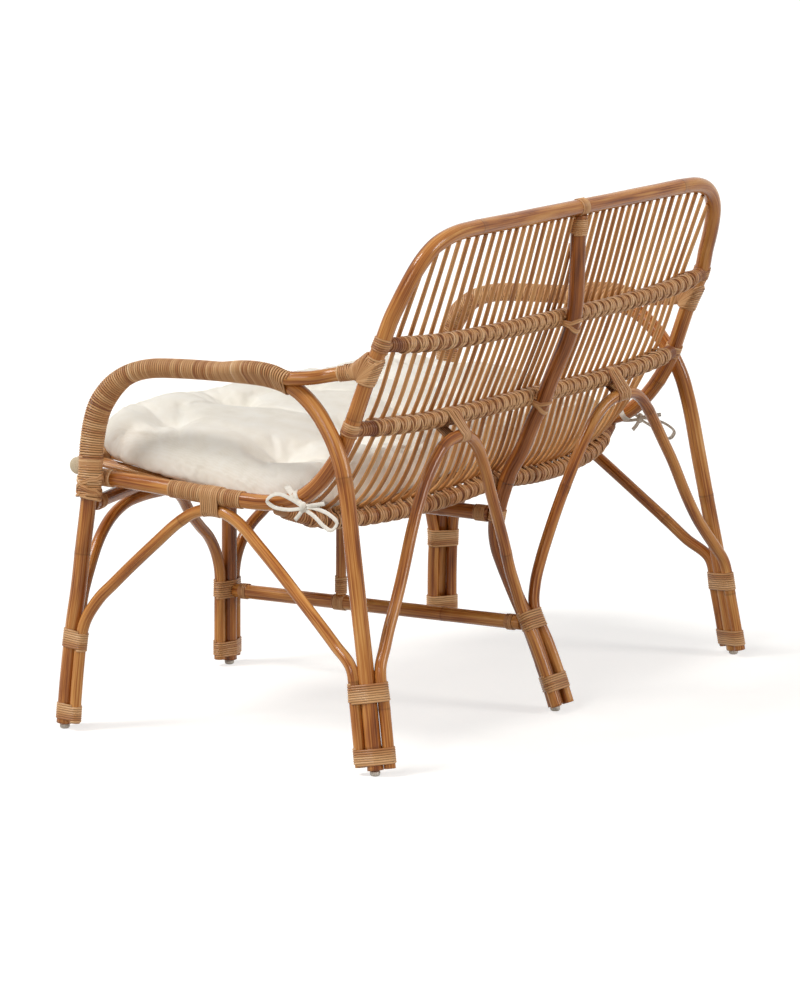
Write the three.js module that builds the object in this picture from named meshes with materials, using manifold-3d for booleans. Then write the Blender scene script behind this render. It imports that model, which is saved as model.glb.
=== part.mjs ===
// Rattan garden sofa: bent poles lashed with peel, a mat of thin canes and a tied-on tufted cushion.
// Millimetres. X runs across the seat, the sitter faces -Y and +X is the sitter's left. Z is up.
// Places along the frame are shares: x of half the foot span, y of the frame depth, and a level
// that runs 0 at the floor, 1 at the seat rail, 2 at the arm and 3 at the top rail.
import * as THREE from 'three';
import { mergeVertices } from 'three/addons/utils/BufferGeometryUtils.js';
import Module from 'manifold-3d';

const wasm = await Module();
wasm.setup();

// Overall sizes, all to centre lines.
const footSpan = 1080;
const frameDepth = 595;
const frontBow = 62;
const seatHeight = 386;
const armHeight = 583;
const backHeight = 808;
const sideLeanShare = 0.0767;

// Pole and cane diameters.
const poleDiameter = 25;
const extensionDiameter = 21.4;
const caneDiameter = 18.6;
const bandDiameter = 22;
const frontRailDiameter = 27;
const lowerRailDiameter = 22;
const centreRailDiameter = 24;
const stretcherDiameter = 23;
const strutDiameter = 17;
const slatDiameter = 6;

// Binding, clearances and feet.
const clearance = 0.3;
const lashingSlack = 0.4;
const bindingThickness = 1.8;
const lashingThickness = 2.6;
const bandBinding = 2.5;
const glideHeight = 8;
const glideDiameter = 16;
const glideTipDiameter = 11;
const glideBevel = 3;
const caneFootHeight = 11;
const footOverrun = 25;

// Slats.
const slatsPerSide = 19;
const slatSideMargin = 41;
const slatEvenShare = 0.87;
const seatFlareShare = 1.027;
const bendFlareShare = 1.01;

// Lashing lengths, measured along the pole they go round.
const legLashingHeight = 33;
const lowLashingHeight = 29;
const upperLashingLevels = { front: 0.37, middleFront: 0.334, rear: 0.321, middleRear: 0.36 };
const lowerLashingLevels = { front: 0.072, middleFront: 0.079, rear: 0.075, middleRear: 0.109 };
const seatRailBinding = 137;
const strapWidth = 40;
const jointBindingShare = 0.772;
const extensionBinding = 63;
const ringWidth = 26;
const collarHeight = 32;
const cornerLashingHeight = 86;
const stubBinding = 28;
const strutBinding = 34;

// Arm winding.
const windingLoops = 17;
const windingGap = 0.7;
const windingStepsPerLoop = 8;

// Cushion and its ties.
const cushionSideMargin = 0.9;
const cushionDepth = 434;
const cushionClearance = 3.6;
const cushionThickness = 84;
const cushionCrown = 4;
const cushionFrontSetback = 24;
const cushionEndLift = 8.6;
const tuftDepth = 20;
const tuftReach = 88;
const tuftColumns = 5;
const tuftRows = 2;
const tapeDiameter = 4.5;
const tapeWidth = 8;
const knotDiameter = 15;

const halfSpan = footSpan / 2;
const poleRadius = poleDiameter / 2;
const extensionRadius = extensionDiameter / 2;
const caneRadius = caneDiameter / 2;
const bandRadius = bandDiameter / 2;
const lashedBandRadius = bandRadius + bandBinding;
const frontRailRadius = frontRailDiameter / 2;
const lowerRailRadius = lowerRailDiameter / 2;
const centreRailRadius = centreRailDiameter / 2;
const stretcherRadius = stretcherDiameter / 2;
const strutRadius = strutDiameter / 2;
const slatRadius = slatDiameter / 2;
const tapeRadius = tapeDiameter / 2;

// Facets round each kind of piece, and steps along it.
const poleSides = 8;
const caneSides = 6;
const lashingSides = 12;
const glideSides = 6;
const bendTolerance = 1.1;

const varnish = { color: 0xb5763f, roughness: 0.36, metalness: 0 };
const darkVarnish = { color: 0x9a5f31, roughness: 0.4, metalness: 0 };
const slatVarnish = { color: 0xa66d3c, roughness: 0.42, metalness: 0 };
const peel = { color: 0xbf9160, roughness: 0.6, metalness: 0 };
const cotton = { color: 0xe9e3d7, roughness: 0.95, metalness: 0 };
const tape = { color: 0xefeadf, roughness: 0.92, metalness: 0 };
const glideNylon = { color: 0xd5cfc6, roughness: 0.5, metalness: 0 };

const group = new THREE.Group();

// Places.

function heightAt(level) {
  const heights = [0, seatHeight, armHeight, backHeight];
  const step = Math.max(0, Math.min(Math.floor(level), heights.length - 2));
  return THREE.MathUtils.lerp(heights[step], heights[step + 1], level - step);
}

function place([xShare, yShare, level]) {
  return new THREE.Vector3(xShare * halfSpan, yShare * frameDepth, heightAt(level));
}

function sideX(z) {
  return halfSpan - sideLeanShare * z;
}

function smooth(points) {
  return new THREE.CatmullRomCurve3(points, false, 'centripetal');
}

function mirrorPoint(point) {
  return new THREE.Vector3(-point.x, point.y, point.z);
}

const sampleCount = 500;

// A run of straight lengths. getPoint goes by length along it. getPointAt and getTangentAt go
// from corner to corner, so that an extrusion along it has one ring at each corner.
class Route extends THREE.Curve {
  constructor(corners) {
    super();
    this.corners = corners;
    this.marks = [0];
    for (let i = 1; i < corners.length; i += 1) {
      this.marks.push(this.marks[i - 1] + corners[i].distanceTo(corners[i - 1]));
    }
    this.steps = corners.length - 1;
    this.run = this.marks[this.steps];
  }

  getPoint(t) {
    const along = t * this.run;
    let i = 1;
    while (i < this.steps && this.marks[i] < along) {
      i += 1;
    }
    const share = (along - this.marks[i - 1]) / (this.marks[i] - this.marks[i - 1]);
    return this.corners[i - 1].clone().lerp(this.corners[i], share);
  }

  getPointAt(u) {
    const i = Math.min(Math.floor(u * this.steps), this.steps - 1);
    return this.corners[i].clone().lerp(this.corners[i + 1], u * this.steps - i);
  }

  getTangentAt(u) {
    const i = Math.round(u * this.steps);
    const tangent = new THREE.Vector3();
    if (i > 0) {
      tangent.add(this.corners[i].clone().sub(this.corners[i - 1]).normalize());
    }
    if (i < this.steps) {
      tangent.add(this.corners[i + 1].clone().sub(this.corners[i]).normalize());
    }
    return tangent.normalize();
  }
}

// Corners along a run of samples: as few as keep each straight length close to it.
function cornersAlong(samples) {
  const last = samples.length - 1;
  const corners = [samples[0]];
  let from = 0;
  for (let to = 2; to <= last; to += 1) {
    const chord = new THREE.Line3(samples[from], samples[to]);
    const middle = samples[Math.round((from + to) / 2)];
    const onChord = chord.closestPointToPoint(middle, true, new THREE.Vector3());
    if (onChord.distanceTo(middle) > bendTolerance) {
      corners.push(samples[to - 1]);
      from = to - 1;
    }
  }
  corners.push(samples[last]);
  return corners;
}

function route(curve) {
  return new Route(cornersAlong(curve.getSpacedPoints(sampleCount)));
}

// A route from one side to the other, with the same corners on both sides of the middle.
function evenRoute(curve) {
  const halfCount = Math.round(sampleCount / 2);
  const samples = curve.getSpacedPoints(2 * halfCount);
  const half = cornersAlong(samples.slice(0, halfCount + 1)).slice(0, -1);
  const lastHalf = half.map(mirrorPoint).reverse();
  const first = samples[halfCount];
  const middle = new THREE.Vector3(0, first.y, first.z);
  return new Route([...half, middle, ...lastHalf]);
}

// The sampled point of a route that scores lowest.
function bestPoint(path, score) {
  let best = null;
  for (let i = 0; i <= sampleCount; i += 1) {
    const t = i / sampleCount;
    const point = path.getPoint(t);
    const value = score(point);
    if (best === null || value < best.value) {
      best = { t, point, value };
    }
  }
  best.tangent = path.getTangent(best.t).normalize();
  return best;
}

function nearest(item, target) {
  return bestPoint(item.route, (point) => point.distanceTo(target));
}

// A stretch of a route about a place on it, with a share of its length before that place.
function stretch(path, place, length, before = 0.5) {
  const from = Math.max(0, place.t * path.run - before * length);
  const to = Math.min(path.run, place.t * path.run + (1 - before) * length);
  const inner = path.corners.filter((corner, i) => (
    path.marks[i] > from + poleRadius / 2 && path.marks[i] < to - poleRadius / 2
  ));
  return new Route([path.getPoint(from / path.run), ...inner, path.getPoint(to / path.run)]);
}

// Solids.

function polygon(radius, sides) {
  const points = [];
  for (let i = 0; i < sides; i += 1) {
    const angle = ((i + 0.5) / sides) * 2 * Math.PI;
    points.push(new THREE.Vector2(radius * Math.cos(angle), radius * Math.sin(angle)));
  }
  return new THREE.Shape(points);
}

function tubeGeometry(path, radius, sides) {
  return new THREE.ExtrudeGeometry(polygon(radius, sides), {
    steps: path.steps,
    extrudePath: path,
    bevelEnabled: false,
  });
}

function solid(geometry) {
  const bare = geometry.index ? geometry.clone() : geometry;
  bare.deleteAttribute('normal');
  bare.deleteAttribute('uv');
  const merged = mergeVertices(bare);
  return new wasm.Manifold(new wasm.Mesh({
    numProp: 3,
    vertProperties: new Float32Array(merged.attributes.position.array),
    triVerts: new Uint32Array(merged.index.array),
  }));
}

function geometryOf(body) {
  const mesh = body.getMesh();
  const geometry = new THREE.BufferGeometry();
  const positions = new Float32Array(mesh.vertProperties);
  geometry.setAttribute('position', new THREE.BufferAttribute(positions, mesh.numProp));
  geometry.setIndex(new THREE.BufferAttribute(new Uint32Array(mesh.triVerts), 1));
  geometry.computeVertexNormals();
  return geometry;
}

function joined(bodies) {
  return bodies.reduce((whole, body) => whole.add(body));
}

function cut(body, cutters) {
  return cutters.reduce((rest, cutter) => rest.subtract(cutter), body);
}

// A pole keeps its route and radius, so a neighbour can be cut clear of it.
function poleAlong(path, radius, sides) {
  return { route: path, radius, sides, body: solid(tubeGeometry(path, radius, sides)) };
}

function pole(curve, radius, sides) {
  return poleAlong(route(curve), radius, sides);
}

function evenPole(curve, radius, sides) {
  return poleAlong(evenRoute(curve), radius, sides);
}

// A pole's own shape grown by the clearance all round and at both ends.
function cutterOf(item) {
  const { corners } = item.route;
  const past = (end, before) => end.clone().add(end.clone().sub(before).setLength(clearance));
  const first = past(corners[0], corners[1]);
  const last = past(corners[corners.length - 1], corners[corners.length - 2]);
  const grown = new Route([first, ...corners.slice(1, -1), last]);
  return solid(tubeGeometry(grown, item.radius + clearance, item.sides));
}

function cutClear(body, items) {
  return cut(body, items.map(cutterOf));
}

// Removes what lies below a foot's height.
function trimFoot(body, height) {
  const size = footSpan + frameDepth;
  const block = new THREE.BoxGeometry(2 * size, 2 * size, size);
  block.translate(0, 0, height - size / 2);
  return body.subtract(solid(block));
}

function sleeve(item, at, length, before = 0.5, thickness = bindingThickness) {
  return solid(tubeGeometry(stretch(item.route, at, length, before), item.radius + thickness, item.sides));
}

// The outline of a cord pulled tight round circles, a little outside each.
function tightOutline(circles, offset, sides) {
  const turn = (2 * Math.PI) / sides;
  const reach = (i) => offset + Math.max(...circles.map(({ x, y, radius }) => (
    x * Math.cos(i * turn) + y * Math.sin(i * turn) + radius
  )));
  const points = [];
  for (let i = 0; i < sides; i += 1) {
    const [near, next] = [reach(i), reach(i + 1)];
    const [a, b] = [i * turn, (i + 1) * turn];
    points.push(new THREE.Vector2(
      (near * Math.sin(b) - next * Math.sin(a)) / Math.sin(turn),
      (next * Math.cos(a) - near * Math.cos(b)) / Math.sin(turn),
    ));
  }
  return points;
}

// Where poles cross a plane and the planes to each side of it, as circles on that plane.
function circlesOn(items, centre, axis, first, second, halfLength) {
  const reach = 4 * poleDiameter;
  return items.flatMap((item) => [-halfLength, 0, halfLength].flatMap((shift) => {
    const hit = bestPoint(item.route, (point) => {
      const away = point.clone().sub(centre);
      const tooFar = away.length() > reach ? footSpan : 0;
      return Math.abs(away.dot(axis) - shift) + away.length() / footSpan + tooFar;
    });
    const away = hit.point.clone().sub(centre);
    const missed = hit.value > poleRadius;
    return missed ? [] : [{ x: away.dot(first), y: away.dot(second), radius: item.radius }];
  }));
}

function lashingFrame(axis) {
  const first = new THREE.Vector3(0, 0, 1).cross(axis);
  if (first.length() < 0.5) {
    first.set(1, 0, 0).addScaledVector(axis, -axis.x);
  }
  first.normalize();
  return [first, new THREE.Vector3().crossVectors(axis, first)];
}

// A lashing pulled tight round several poles that run side by side, as a band or filled.
function lashing(items, centre, axis, length, thickness = lashingThickness, filled = false) {
  const [first, second] = lashingFrame(axis);
  const circles = circlesOn(items, centre, axis, first, second, length / 2);
  const outline = new THREE.Shape(tightOutline(circles, thickness, lashingSides));
  if (!filled) {
    outline.holes.push(new THREE.Path(tightOutline(circles, lashingSlack, lashingSides)));
  }
  const geometry = new THREE.ExtrudeGeometry(outline, { depth: length, bevelEnabled: false });
  geometry.translate(0, 0, -length / 2);
  geometry.applyMatrix4(new THREE.Matrix4().makeBasis(first, second, axis).setPosition(centre));
  return solid(geometry);
}

function add(name, geometry, finish) {
  const mesh = new THREE.Mesh(geometry, new THREE.MeshStandardMaterial(finish));
  mesh.name = name;
  group.add(mesh);
  return mesh;
}

// The same solid on the sitter's right: x turned round and each triangle with it.
function mirrored(geometry) {
  const copy = geometry.clone().applyMatrix4(new THREE.Matrix4().makeScale(-1, 1, 1));
  const index = copy.index;
  for (let i = 0; i < index.count; i += 3) {
    const a = index.getX(i);
    index.setX(i, index.getX(i + 1));
    index.setX(i + 1, a);
  }
  copy.computeVertexNormals();
  return copy;
}

function addPair(name, body, finish) {
  const geometry = geometryOf(body);
  add(`${name}_left`, geometry, finish);
  add(`${name}_right`, mirrored(geometry), finish);
}

// Side arch: front leg, arm and rear leg bent from one pole.

const archShares = [
  [-0.9933, 0.1969], [-0.9815, 0.4249], [-0.9697, 0.5699], [-0.9597, 0.7513], [-0.9496, 0.9145],
  [-0.9462, 1.0711], [-0.9445, 1.3249], [-0.9361, 1.5025], [-0.9227, 1.6294], [-0.8992, 1.736],
  [-0.8689, 1.8274], [-0.8218, 1.9137], [-0.7697, 1.9594], [-0.6773, 1.9848], [-0.4908, 2],
  [-0.4034, 1.9949], [-0.3462, 1.9645], [-0.3109, 1.9239], [-0.2807, 1.868], [-0.242, 1.7665],
  [-0.2084, 1.6396], [-0.1849, 1.5279], [-0.163, 1.3858], [-0.1485, 1.2386], [-0.1358, 1.0711],
  [-0.117, 0.8731], [-0.0914, 0.6606], [-0.0655, 0.4508], [-0.0386, 0.2202],
];
const rearFootShare = -0.008;

function archCurve() {
  const points = [new THREE.Vector3(sideX(-footOverrun), -frameDepth, -footOverrun)];
  for (const [yShare, level] of archShares) {
    const z = heightAt(level);
    points.push(new THREE.Vector3(sideX(z), yShare * frameDepth, z));
  }
  points.push(new THREE.Vector3(sideX(-footOverrun), rearFootShare * frameDepth, -footOverrun));
  return smooth(points);
}

const arch = pole(archCurve(), poleRadius, poleSides);

function archAt(level, rear) {
  const z = heightAt(level);
  return bestPoint(arch.route, (point) => {
    const onLeg = rear === point.y > -frameDepth / 2;
    return Math.abs(point.z - z) + (onLeg ? 0 : footSpan);
  });
}

// Back hoop: side rails, side posts and top rail bent from one pole.

const hoopCrossingLevel = 1.51;
const railLevel = 1.06;
const hoopX = sideX(heightAt(hoopCrossingLevel)) - poleDiameter - clearance;
const railX = sideX(heightAt(railLevel)) - poleDiameter - clearance;
// Each row: share of the way in from the rail's line to the post's line, y share, level.
const railShares = [
  [0, -0.9462, 1.0406], [0, -0.8168, 1.0305], [0.1, -0.6723, 1.0102], [0.4, -0.521, 0.9961],
  [0.8, -0.4034, 0.9987], [1, -0.3277, 1.0508], [1, -0.2739, 1.1574], [1, -0.2185, 1.3452],
  [1, -0.1882, 1.4924], [1, -0.1664, 1.6396],
];
// Each row: share of the post's x, y share, level.
const hoopShares = [
  [0.995, -0.1109, 2.0756], [0.993, -0.0756, 2.2844], [0.9784, -0.0555, 2.4533],
  [0.9669, -0.0403, 2.5556], [0.9491, -0.0235, 2.6711], [0.9239, -0.0084, 2.7822],
  [0.8904, 0.0017, 2.8667], [0.8527, 0.0084, 2.9244], [0.8066, 0.0143, 2.9644],
  [0.7438, 0.0185, 2.9911], [0.66, 0.0202, 3], [0.44, 0.0202, 3], [0.22, 0.0202, 3],
];

function hoopCurve() {
  const half = railShares.map(([share, yShare, level]) => (
    new THREE.Vector3(THREE.MathUtils.lerp(railX, hoopX, share), yShare * frameDepth, heightAt(level))
  ));
  for (const [xShare, yShare, level] of hoopShares) {
    half.push(new THREE.Vector3(xShare * hoopX, yShare * frameDepth, heightAt(level)));
  }
  const top = new THREE.Vector3(0, half[half.length - 1].y, backHeight);
  return smooth([...half, top, ...half.map(mirrorPoint).reverse()]);
}

const hoop = evenPole(hoopCurve(), poleRadius, poleSides);

function hoopAt(level) {
  const z = heightAt(level);
  return bestPoint(hoop.route, (point) => Math.abs(point.z - z) + (point.x > 0 ? 0 : footSpan));
}

function hoopRailAt(yShare) {
  const y = yShare * frameDepth;
  return bestPoint(hoop.route, (point) => (
    Math.abs(point.y - y) + (point.x > 0 && point.z < (seatHeight + armHeight) / 2 ? 0 : footSpan)
  ));
}

function hoopTopAt(x) {
  return bestPoint(hoop.route, (point) => Math.abs(point.x - x) + (point.z > armHeight ? 0 : footSpan));
}

// Spine: from the top rail down behind the bands and on as the middle rear leg.

const spineShares = [
  [0.0143, 2.8311], [0.0118, 2.56], [0.0084, 2.3467], [0.0017, 2.2044], [-0.0202, 2.0311],
  [-0.042, 1.8934], [-0.0672, 1.731], [-0.0891, 1.5635], [-0.1176, 1.3959], [-0.1563, 1.1371],
  [-0.1899, 0.9819], [-0.2134, 0.886], [-0.2252, 0.8264], [-0.2353, 0.7409], [-0.2286, 0.658],
  [-0.2134, 0.5984], [-0.1882, 0.5181], [-0.1647, 0.4482], [-0.1328, 0.3601], [-0.0622, 0.1088],
];
const spineFootShare = -0.0218;

function spineCurve() {
  const points = spineShares.map(([yShare, level]) => place([0, yShare, level]));
  points.unshift(hoopTopAt(0).point);
  points.push(new THREE.Vector3(0, spineFootShare * frameDepth, -footOverrun));
  return smooth(points);
}

const spine = pole(spineCurve(), poleRadius, poleSides);

function spineAt(z) {
  return bestPoint(spine.route, (point) => Math.abs(point.z - z));
}

// Bands: three poles across the back that carry the slats.

// Each row: share of the band's half length, share of its bow, level.
const upperBandShares = [
  [1, 0, 2.2844], [0.88, 0.41, 2.2533], [0.7, 0.68, 2.2267], [0.45, 0.86, 2.2133], [0, 1, 2.2133],
];
const lowerBandShares = [
  [1, 0, 1.6396], [0.88, 0.52, 1.6193], [0.7, 0.8, 1.5939], [0.45, 0.92, 1.5787], [0, 1, 1.5838],
];
const seatBandShares = [
  [1, -0.05, 0.985], [0.95, 0.04, 0.958], [0.82, 0.3, 0.9093], [0.55, 0.66, 0.8912],
  [0.28, 0.93, 0.9016], [0, 1, 0.9249],
];
const bandEndShares = { upper: -0.0756, lower: -0.1664, seat: -0.3697 };

function bandCurve(rows, endShare, halfLength) {
  const middle = spineAt(heightAt(rows[rows.length - 1][2]));
  const endY = endShare * frameDepth;
  const middleY = middle.point.y - (poleRadius + bandRadius + clearance) / Math.abs(middle.tangent.z);
  const half = rows.map(([xShare, bowShare, level]) => (
    new THREE.Vector3(xShare * halfLength, THREE.MathUtils.lerp(endY, middleY, bowShare), heightAt(level))
  ));
  return smooth([...half, ...half.slice(0, -1).map(mirrorPoint).reverse()]);
}

const upperBand = evenPole(bandCurve(upperBandShares, bandEndShares.upper, hoopX), bandRadius, poleSides);
const lowerBand = evenPole(bandCurve(lowerBandShares, bandEndShares.lower, hoopX), bandRadius, poleSides);
const seatBandHalf = hoopX + poleRadius;
const seatBandCurve = bandCurve(seatBandShares, bandEndShares.seat, seatBandHalf);
const seatBand = evenPole(seatBandCurve, bandRadius, poleSides);

// Front: middle leg, wrapped front rail and the bare rail below it.

const frontMiddleY = -(frameDepth + frontBow);
const frontRailLevel = 1.132;
const lowerRailLevel = 0.912;
const frontRailShare = 0.937;
const frontRows = 8;

function bowedCurve(halfLength, endY, middleY, z) {
  const points = [];
  for (let i = -frontRows; i <= frontRows; i += 1) {
    const share = i / frontRows;
    const y = THREE.MathUtils.lerp(middleY, endY, share * share);
    points.push(new THREE.Vector3(share * halfLength, y, z));
  }
  return smooth(points);
}

const frontRailEndY = archAt(frontRailLevel, false).point.y - poleRadius - frontRailRadius - clearance;
const frontRailZ = heightAt(frontRailLevel);
const frontRailCurve = bowedCurve(frontRailShare * halfSpan, frontRailEndY, frontMiddleY, frontRailZ);
const frontRail = evenPole(frontRailCurve, frontRailRadius, poleSides);
const lowerRailEnd = archAt(lowerRailLevel, false).point;
const lowerRailMiddleY = frontMiddleY + poleRadius + lowerRailRadius + clearance;
const lowerRailCurve = bowedCurve(lowerRailEnd.x, lowerRailEnd.y, lowerRailMiddleY, lowerRailEnd.z);
const lowerRail = evenPole(lowerRailCurve, lowerRailRadius, poleSides);

function straight(from, to) {
  return new Route([from, to]);
}

function middleFrontLeg() {
  const top = heightAt(frontRailLevel) - frontRailRadius - clearance;
  const from = new THREE.Vector3(0, frontMiddleY, -footOverrun);
  return poleAlong(straight(from, new THREE.Vector3(0, frontMiddleY, top)), poleRadius, poleSides);
}

const frontLeg = middleFrontLeg();

// Centre: seat rail, stretcher and the strut between them.

const centreRailLevel = 0.7876;
const stretcherFrontLevel = 0.3238;
const stretcherRearLevel = 0.3497;
const strutShare = -0.7328;

function centreRailPole() {
  const z = heightAt(centreRailLevel);
  const rear = spineAt(z).point;
  return poleAlong(straight(new THREE.Vector3(0, frontMiddleY, z), rear), centreRailRadius, poleSides);
}

function stretcherPole() {
  const front = new THREE.Vector3(0, frontMiddleY, heightAt(stretcherFrontLevel));
  const rear = spineAt(heightAt(stretcherRearLevel)).point;
  return poleAlong(straight(front, rear), stretcherRadius, poleSides);
}

const centreRail = centreRailPole();
const stretcher = stretcherPole();

function strutPole() {
  const y = strutShare * frameDepth;
  const foot = bestPoint(stretcher.route, (point) => Math.abs(point.y - y)).point;
  const head = bestPoint(centreRail.route, (point) => Math.abs(point.y - y)).point;
  return poleAlong(straight(foot, head), strutRadius, poleSides);
}

const strut = strutPole();

// Braces: bent canes that run down beside the legs.

// Ways from a leg's axis to the cane lashed beside it, each of length one.
const sideBraceFrontWay = new THREE.Vector2(0.18, 0.98).normalize();
const sideBraceRearWay = new THREE.Vector2(0.32, -0.95).normalize();
const rearBraceOuterWay = new THREE.Vector2(-0.54, 0.84).normalize();
const rearBraceInnerWay = new THREE.Vector2(0.815, 0.58).normalize();
const frontBraceOuterWay = new THREE.Vector2(-1, 0.02).normalize();
const frontBraceInnerWay = new THREE.Vector2(0.98, -0.18).normalize();
const legLevels = [-0.06, 0.026, 0.15, 0.27, 0.41];
const shortLegLevels = [-0.06, 0.026, 0.15, 0.27, 0.38];

// Points beside a leg, from the foot up.
function besideLeg(pointAt, way, levels) {
  const reach = poleRadius + caneRadius + clearance;
  return levels.map((level) => {
    const point = pointAt(level);
    return new THREE.Vector3(point.x + way.x * reach, point.y + way.y * reach, heightAt(level));
  });
}

const frontLegAt = (level) => archAt(level, false).point;
const rearLegAt = (level) => archAt(level, true).point;
const middleRearAt = (level) => spineAt(heightAt(level)).point;
const middleFrontAt = (level) => new THREE.Vector3(0, frontMiddleY, heightAt(level));

const sideBraceShares = [
  [0.976, -0.9361, 0.4663], [0.9593, -0.9042, 0.5492], [0.95, -0.8739, 0.5984],
  [0.937, -0.8252, 0.6762], [0.9185, -0.7496, 0.7902], [0.9074, -0.6891, 0.8756],
  [0.9, -0.6387, 0.9249], [0.8963, -0.5882, 0.943], [0.8972, -0.5462, 0.9352],
  [0.9019, -0.4958, 0.899], [0.9148, -0.4252, 0.8187], [0.9278, -0.3546, 0.7332],
  [0.9425, -0.284, 0.6451], [0.9574, -0.2134, 0.557], [0.9685, -0.1597, 0.487],
];
const rearBraceShares = [
  [0.9156, -0.0403, 0.487], [0.8804, -0.0496, 0.5492], [0.836, -0.0583, 0.6269],
  [0.7841, -0.0667, 0.7383], [0.7211, -0.0768, 0.8938], [0.6785, -0.0835, 0.9845],
  [0.6369, -0.0876, 1.132], [0.5898, -0.0884, 1.2843], [0.53, -0.0884, 1.4112],
  [0.45, -0.0874, 1.4518], [0.3796, -0.0975, 1.4061], [0.3241, -0.1059, 1.2995],
  [0.2741, -0.1143, 1.1218], [0.2222, -0.1237, 0.9456], [0.1722, -0.1311, 0.829],
  [0.126, -0.1366, 0.7124], [0.0852, -0.1415, 0.5959], [0.0537, -0.1398, 0.5052],
];
const frontBraceShares = [
  [0.937, -0.9882, 0.4275], [0.9148, -0.9916, 0.5311], [0.8704, -0.9983, 0.6347],
  [0.8074, -1.0084, 0.7383], [0.7407, -1.0151, 0.8083], [0.6574, -1.0218, 0.8497],
  [0.5648, -1.0286, 0.8601], [0.4722, -1.0353, 0.8575], [0.3796, -1.0487, 0.8446],
  [0.3056, -1.0655, 0.7902], [0.2371, -1.0807, 0.7047], [0.1704, -1.0941, 0.6373],
  [0.1074, -1.1042, 0.5751], [0.063, -1.1092, 0.4974],
];

function brace(first, rows, last) {
  return pole(smooth([...first, ...rows.map(place), ...last.reverse()]), caneRadius, caneSides);
}

const sideBrace = brace(
  besideLeg(frontLegAt, sideBraceFrontWay, legLevels),
  sideBraceShares,
  besideLeg(rearLegAt, sideBraceRearWay, legLevels),
);
const rearBrace = brace(
  besideLeg(rearLegAt, rearBraceOuterWay, legLevels),
  rearBraceShares,
  besideLeg(middleRearAt, rearBraceInnerWay, legLevels),
);
const frontBrace = brace(
  besideLeg(frontLegAt, frontBraceOuterWay, shortLegLevels),
  frontBraceShares,
  besideLeg(middleFrontAt, frontBraceInnerWay, legLevels),
);

// Arm extension: from under the arm binding back to the hoop.

const extensionLevel = 2.1;
const armX = sideX(armHeight);
const besideArm = poleRadius + extensionRadius + clearance;
const extensionAsideShare = 0.77;
// Each row: share of the way from the arm's axis to the place outside it, y share, lift as a share
// of the distance between the two axes.
const extensionShares = [
  [0, -0.6, 0], [0.4, -0.53, 0.182], [0.8, -0.465, 0.46], [1, -0.405, 0.545], [1, -0.36, 0.412],
  [1, -0.3259, 0.177], [0.67, -0.2929, 0.196], [0.22, -0.2622, 0.242], [-0.33, -0.24, 0.332],
  [-0.72, -0.2111, 0.488],
];

function extensionPole() {
  const points = extensionShares.map(([share, yShare, lift]) => new THREE.Vector3(
    armX + share * extensionAsideShare * besideArm,
    yShare * frameDepth,
    armHeight + lift * besideArm,
  ));
  points.push(hoopAt(extensionLevel).point);
  return pole(smooth(points), extensionRadius, poleSides);
}

const extension = extensionPole();

// Lashed bands: the binding covers each pole and goes round the hoop at its ends.

function lashed(band) {
  return poleAlong(band.route, lashedBandRadius, band.sides);
}

function pairOf(body) {
  return [body, body.mirror([1, 0, 0])];
}

function lashedBand(band, onHoop) {
  return joined([lashed(band).body, ...pairOf(sleeve(hoop, onHoop, ringWidth))]);
}

// The strap that ties the top of the rear brace under the lower band.
function rearBraceStrap() {
  const apex = bestPoint(rearBrace.route, (point) => -point.z).point;
  const onBand = bestPoint(lowerBand.route, (point) => Math.abs(point.x - apex.x)).point;
  const core = { ...lowerBand, radius: bandRadius - lashingSlack };
  const centre = apex.clone().lerp(onBand, 0.5);
  const axis = new THREE.Vector3(1, 0, 0);
  return lashing([rearBrace, core], centre, axis, strapWidth, lashingThickness, true);
}

function lowerLashedBand() {
  const band = lashedBand(lowerBand, hoopAt(lowerBandShares[0][2]));
  return joined([band, ...pairOf(rearBraceStrap())]);
}

// Slats: thin canes from the hoop down in front of the bands and out to the front rail.

const slatFirst = poleRadius + bindingThickness + slatRadius + clearance;
const slatLast = hoopX - poleRadius - slatRadius - slatSideMargin;
const seatMiddleShare = 0.45;
const seatSagShare = 0.012;
// Rows along a slat, as shares of its run. The lashing joins neighbours after each row named below.
const slatRowShares = [0, 0.188, 0.212, 0.388, 0.412, 0.47, 0.53, 0.59, 0.61, 0.7, 1];
const lashedRows = [1, 3, 7];

// Where a route that runs across the seat passes a given x, and the way it runs there.
function onLine(item, x) {
  const { corners } = item.route;
  const far = corners.findIndex((corner, i) => i > 0 && (corners[i - 1].x - x) * (corner.x - x) <= 0);
  const [a, b] = [corners[far - 1], corners[far]];
  return { point: a.clone().lerp(b, (x - a.x) / (b.x - a.x)), way: b.clone().sub(a).normalize() };
}

// The slat's place in front of a band, square to the way that the slat runs there.
function inFrontOf(band, x, before, after) {
  const { point, way } = onLine(band, x);
  const run = after.clone().sub(before).normalize();
  const front = run.cross(new THREE.Vector3(1, 0, 0)).normalize();
  const lean = Math.abs(front.dot(way));
  const reach = (lashedBandRadius + slatRadius + clearance) / Math.sqrt(1 - lean * lean);
  return point.addScaledVector(front, reach + (slatRadius * lean) / Math.abs(way.x));
}

// A slat ends square against a pole, short of the pole's axis by its radius.
function shortOf(item, axisPoint, along, from) {
  const run = from.clone().sub(axisPoint).normalize();
  const sine = run.clone().cross(along).length();
  const back = Math.min((item.radius + clearance) / sine, 3 * item.radius);
  return axisPoint.clone().addScaledVector(run, back);
}

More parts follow.
